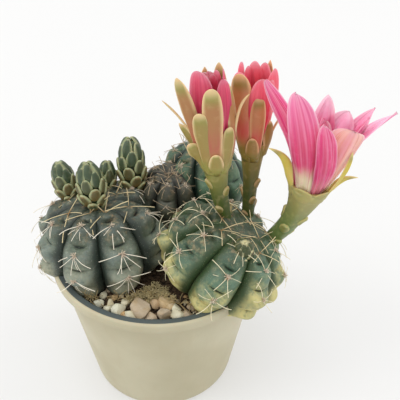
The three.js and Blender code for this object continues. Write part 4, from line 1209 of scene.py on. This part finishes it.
class PotSettings(bpy.types.PropertyGroup):
    """Sizes of the pot."""
    rim_radius: length_setting("Rim radius", "Outer radius of the rim", RIM_RADIUS)
    height: length_setting("Height", "Height of the pot", POT_TOP)
    wall_top_radius: length_setting("Wall top radius", "Outer radius under the rim", WALL_TOP)
    foot_radius: length_setting("Foot radius", "Outer radius of the foot", FOOT_RADIUS)
    wall: length_setting("Wall", "Thickness of the wall", WALL)


class StageSettings(bpy.types.PropertyGroup):
    """The camera: where it stands, what it looks at, its roll and its lens."""
    camera_place: place_setting("Camera", "Where the camera stands", (0.012, -0.1407, 0.1678))
    aim: place_setting("Aim", "What the camera looks at", (0.012, 0.0, 0.0656))
    roll: bpy.props.FloatProperty(
        name="Roll", description="Turn of the camera about its view", default=math.radians(0.9),
        subtype="ANGLE")
    lens: bpy.props.FloatProperty(
        name="Lens", description="Focal length on a 36 mm sensor, in millimetres", default=53.55)


# ---- operators

class CACTUS_OT_stage(bpy.types.Operator):
    """Sets the camera, the studio light and the pale floor"""
    bl_idname = "cactus.stage"
    bl_label = "Stage"

    def execute(self, context):
        settings, scene = context.scene.cactus_stage, context.scene
        camera = new_object("camera", bpy.data.cameras.new("camera"))
        place = Vector(settings.camera_place)
        look = (Vector(settings.aim) - place).to_track_quat("-Z", "Y").to_matrix()
        roll = Matrix.Rotation(settings.roll, 3, "Z")
        camera.matrix_world = Matrix.Translation(place) @ (look @ roll).to_4x4()
        camera.data.lens = settings.lens
        camera.data.sensor_width = 36
        camera.data.clip_start = 0.005
        scene.camera = camera
        for name, place, size, power in (
                ("top_light", (-0.6, -0.5, 2.6), 1.6, 17),
                ("left_light", (-2.2, -0.4, 1.4), 1.5, 14),
                ("right_light", (2.4, 0.3, 1.4), 1.5, 17)):
            lamp = new_object(name, bpy.data.lights.new(name, "AREA"))
            lamp.data.size, lamp.data.energy = size, power
            lamp.location = place
            way = Vector((0, 0, 0.06)) - Vector(place)
            lamp.rotation_euler = way.to_track_quat("-Z", "Y").to_euler()
        scene.world = bpy.data.worlds.new("studio")
        scene.world.use_nodes = True
        light = scene.world.node_tree.nodes["Background"].inputs
        light["Color"].default_value = (1, 1, 1, 1)
        light["Strength"].default_value = 0.93
        scene.view_settings.view_transform = "Standard"
        pale = plain_material("pale_floor", "#b4b4b3", "#b7b7b6", 0.3, 0.9)
        glow = pale.node_tree.nodes["Principled BSDF"].inputs
        glow["Emission Color"].default_value = (1, 1, 1, 1)
        glow["Emission Strength"].default_value = 0.35
        far = 20000
        shape = Shape()
        shape.add([(-far, -far, 0), (far, -far, 0), (far, far, 0), (-far, far, 0)], [[0, 1, 2, 3]])
        floor = shape.make("floor", pale)
        return {"FINISHED"}


class CACTUS_OT_pot(bpy.types.Operator):
    """Makes the plastic pot"""
    bl_idname = "cactus.pot"
    bl_label = "Pot"

    def execute(self, context):
        make_pot(context.scene.cactus_pot, pot_material())
        return {"FINISHED"}


class CACTUS_OT_ground(bpy.types.Operator):
    """Makes the peat, the pebbles and the litter on it"""
    bl_idname = "cactus.ground"
    bl_label = "Peat and pebbles"

    def execute(self, context):
        peat, pebble = peat_material(), pebble_material()
        make_soil(peat)
        kinds = bpy.data.collections.new("pebble_kinds")
        for seed in range(6):
            kinds.objects.link(stone_object(f"pebble_kind_{seed}", seed + 1))
        tree = stone_tree()
        for name, low, high, radii, sizes, seed, laid, paint, slot, nodes in (
                ("gravel_front", -132, -46, (19.5, 28), (0.8, 1.7), 7, STONES, pebble, "pebble",
                 ["gravel_front"]),
                ("gravel_back", 96, 166, (20, 28), (0.8, 1.9), 19, [], pebble, "pebble",
                 ["gravel_back"]),
                ("peat_crumbs", -150, -30, (8, 27.5), (0.4, 1.0), 3, [], peat, "peat", [])):
            grow(name + "_stones", stone_places(low, high, radii, sizes, seed, laid), tree, slot,
                 *nodes, Kinds=kinds, Seed=seed, Material=paint)
        for stone in list(kinds.objects):
            bpy.data.objects.remove(stone)
        bpy.data.collections.remove(kinds)
        make_litter(plain_material("dry_root", "#a98f5e", "#c7b283", 1.5 * MM, 0.85),
                    plain_material("dry_moss", "#9c8c60", "#d6c89c", 0.8 * MM, 0.95))
        return {"FINISHED"}


class CACTUS_OT_heads(bpy.types.Operator):
    """Makes the four heads with their spines and felt"""
    bl_idname = "cactus.heads"
    bl_label = "Heads"

    def execute(self, context):
        settings = context.scene.cactus_plant
        shaft = spine_material("spine_horn", "#b98f7c", settings.spine_color)
        cream = spine_material("spine_cream", "#b07a58", "#e6dcb8")
        straw = spine_material("spine_straw", "#9c7a4c", "#dccb9e")
        tan = spine_material("spine_tan", "#7c6450", "#b5a080")
        # Felt of the areoles: matte, tangled, tan and cream.
        felt = plain_material("areole_felt", "#b09a80", "#e9dfcb", 0.5 * MM, 0.95, 2)
        tree = spine_tree()
        for name, head in HEADS.items():
            make_head(name, head, skin_material(head["skin"]))
            slot, size, seed = SLOTS[head["skin"]], head["spine"] / 6.6, head["seed"]
            dark = slot == "skin_dark"
            grow(name + "_spines", [(p, o, d, size) for p, o, d in areoles(head)], tree, slot,
                 Count=head["spines"], Radius=settings.spine_radius, Fan=head["fan"],
                 Rise=head["rise"], Bow=0.2, Jitter=0.32, Seed=seed,
                 Material={"skin_dark": tan, "skin_green": cream}.get(slot, shaft))
            grow(name + "_felt", [(p - o * 0.15, o, d, 1.0) for p, o, d in areoles(head)], tree,
                 slot, Count=18 if dark else 30, Length=1.15 * MM, Radius=0.07 * MM, Fan=3.1,
                 Rise=0.75, Jitter=0.6, Bow=0.3, Seed=seed + 50, Material=felt)
            grow(name + "_crown_spines",
                 [(p, o, d, size * 1.35) for p, o, d in areoles(head, True)], tree, slot, Count=4,
                 Radius=settings.spine_radius, Fan=2.6, Rise=0.0, Jitter=0.5, Bow=0.08,
                 Seed=seed + 90, Material=tan if dark else straw)
        return {"FINISHED"}


class CACTUS_OT_flowers(bpy.types.Operator):
    """Makes the three flowers: tube with sepals, petals, and stamens"""
    bl_idname = "cactus.flowers"
    bl_label = "Flowers"

    def execute(self, context):
        pollen = plain_material("pollen", "#e9dc8f", "#f3efc4", 0.8 * MM)
        for name, flower in FLOWERS.items():
            make_tube(name, flower, green_material(*GREENS[name]))
            make_petals(name, flower, petal_material(*PETALS[name]))
            make_stamens(name, flower, pollen)
        return {"FINISHED"}


class CACTUS_OT_buds(bpy.types.Operator):
    """Makes the five buds"""
    bl_idname = "cactus.buds"
    bl_label = "Buds"

    def execute(self, context):
        grown, young = green_material(*GREENS["bud"]), green_material(*GREENS["bud_5"])
        for name, bud in BUDS.items():
            make_bud(name, bud, young if name == "bud_5" else grown)
        return {"FINISHED"}


class CACTUS_PT_panel(bpy.types.Panel):
    """Lists the pieces of the cactus"""
    bl_idname = "CACTUS_PT_panel"
    bl_label = "Chin cactus"
    bl_space_type = "VIEW_3D"
    bl_region_type = "UI"
    bl_category = "Cactus"

    def draw(self, context):
        for step in STEPS:
            self.layout.operator(step.bl_idname)
        for name, kind in SETTINGS.items():
            box = self.layout.box()
            for key in kind.__annotations__:
                box.prop(getattr(context.scene, name), key)


SETTINGS = {"cactus_plant": CactusSettings, "cactus_pot": PotSettings,
            "cactus_stage": StageSettings}
STEPS = (CACTUS_OT_stage, CACTUS_OT_pot, CACTUS_OT_ground, CACTUS_OT_heads, CACTUS_OT_flowers,
         CACTUS_OT_buds)
CLASSES = (*SETTINGS.values(), *STEPS, CACTUS_PT_panel)


def register():
    """Registers the classes and the scene's settings."""
    for item in CLASSES:
        bpy.utils.register_class(item)
    for name, kind in SETTINGS.items():
        setattr(bpy.types.Scene, name, bpy.props.PointerProperty(type=kind))


def unregister():
    """Takes the classes and settings away again."""
    for name in SETTINGS:
        delattr(bpy.types.Scene, name)
    for item in reversed(CLASSES):
        bpy.utils.unregister_class(item)


def main():
    """Builds every piece in order."""
    register()
    bpy.ops.cactus.stage()
    bpy.ops.cactus.pot()
    bpy.ops.cactus.ground()
    bpy.ops.cactus.heads()
    bpy.ops.cactus.flowers()
    bpy.ops.cactus.buds()


if __name__ == "__main__":
    main()
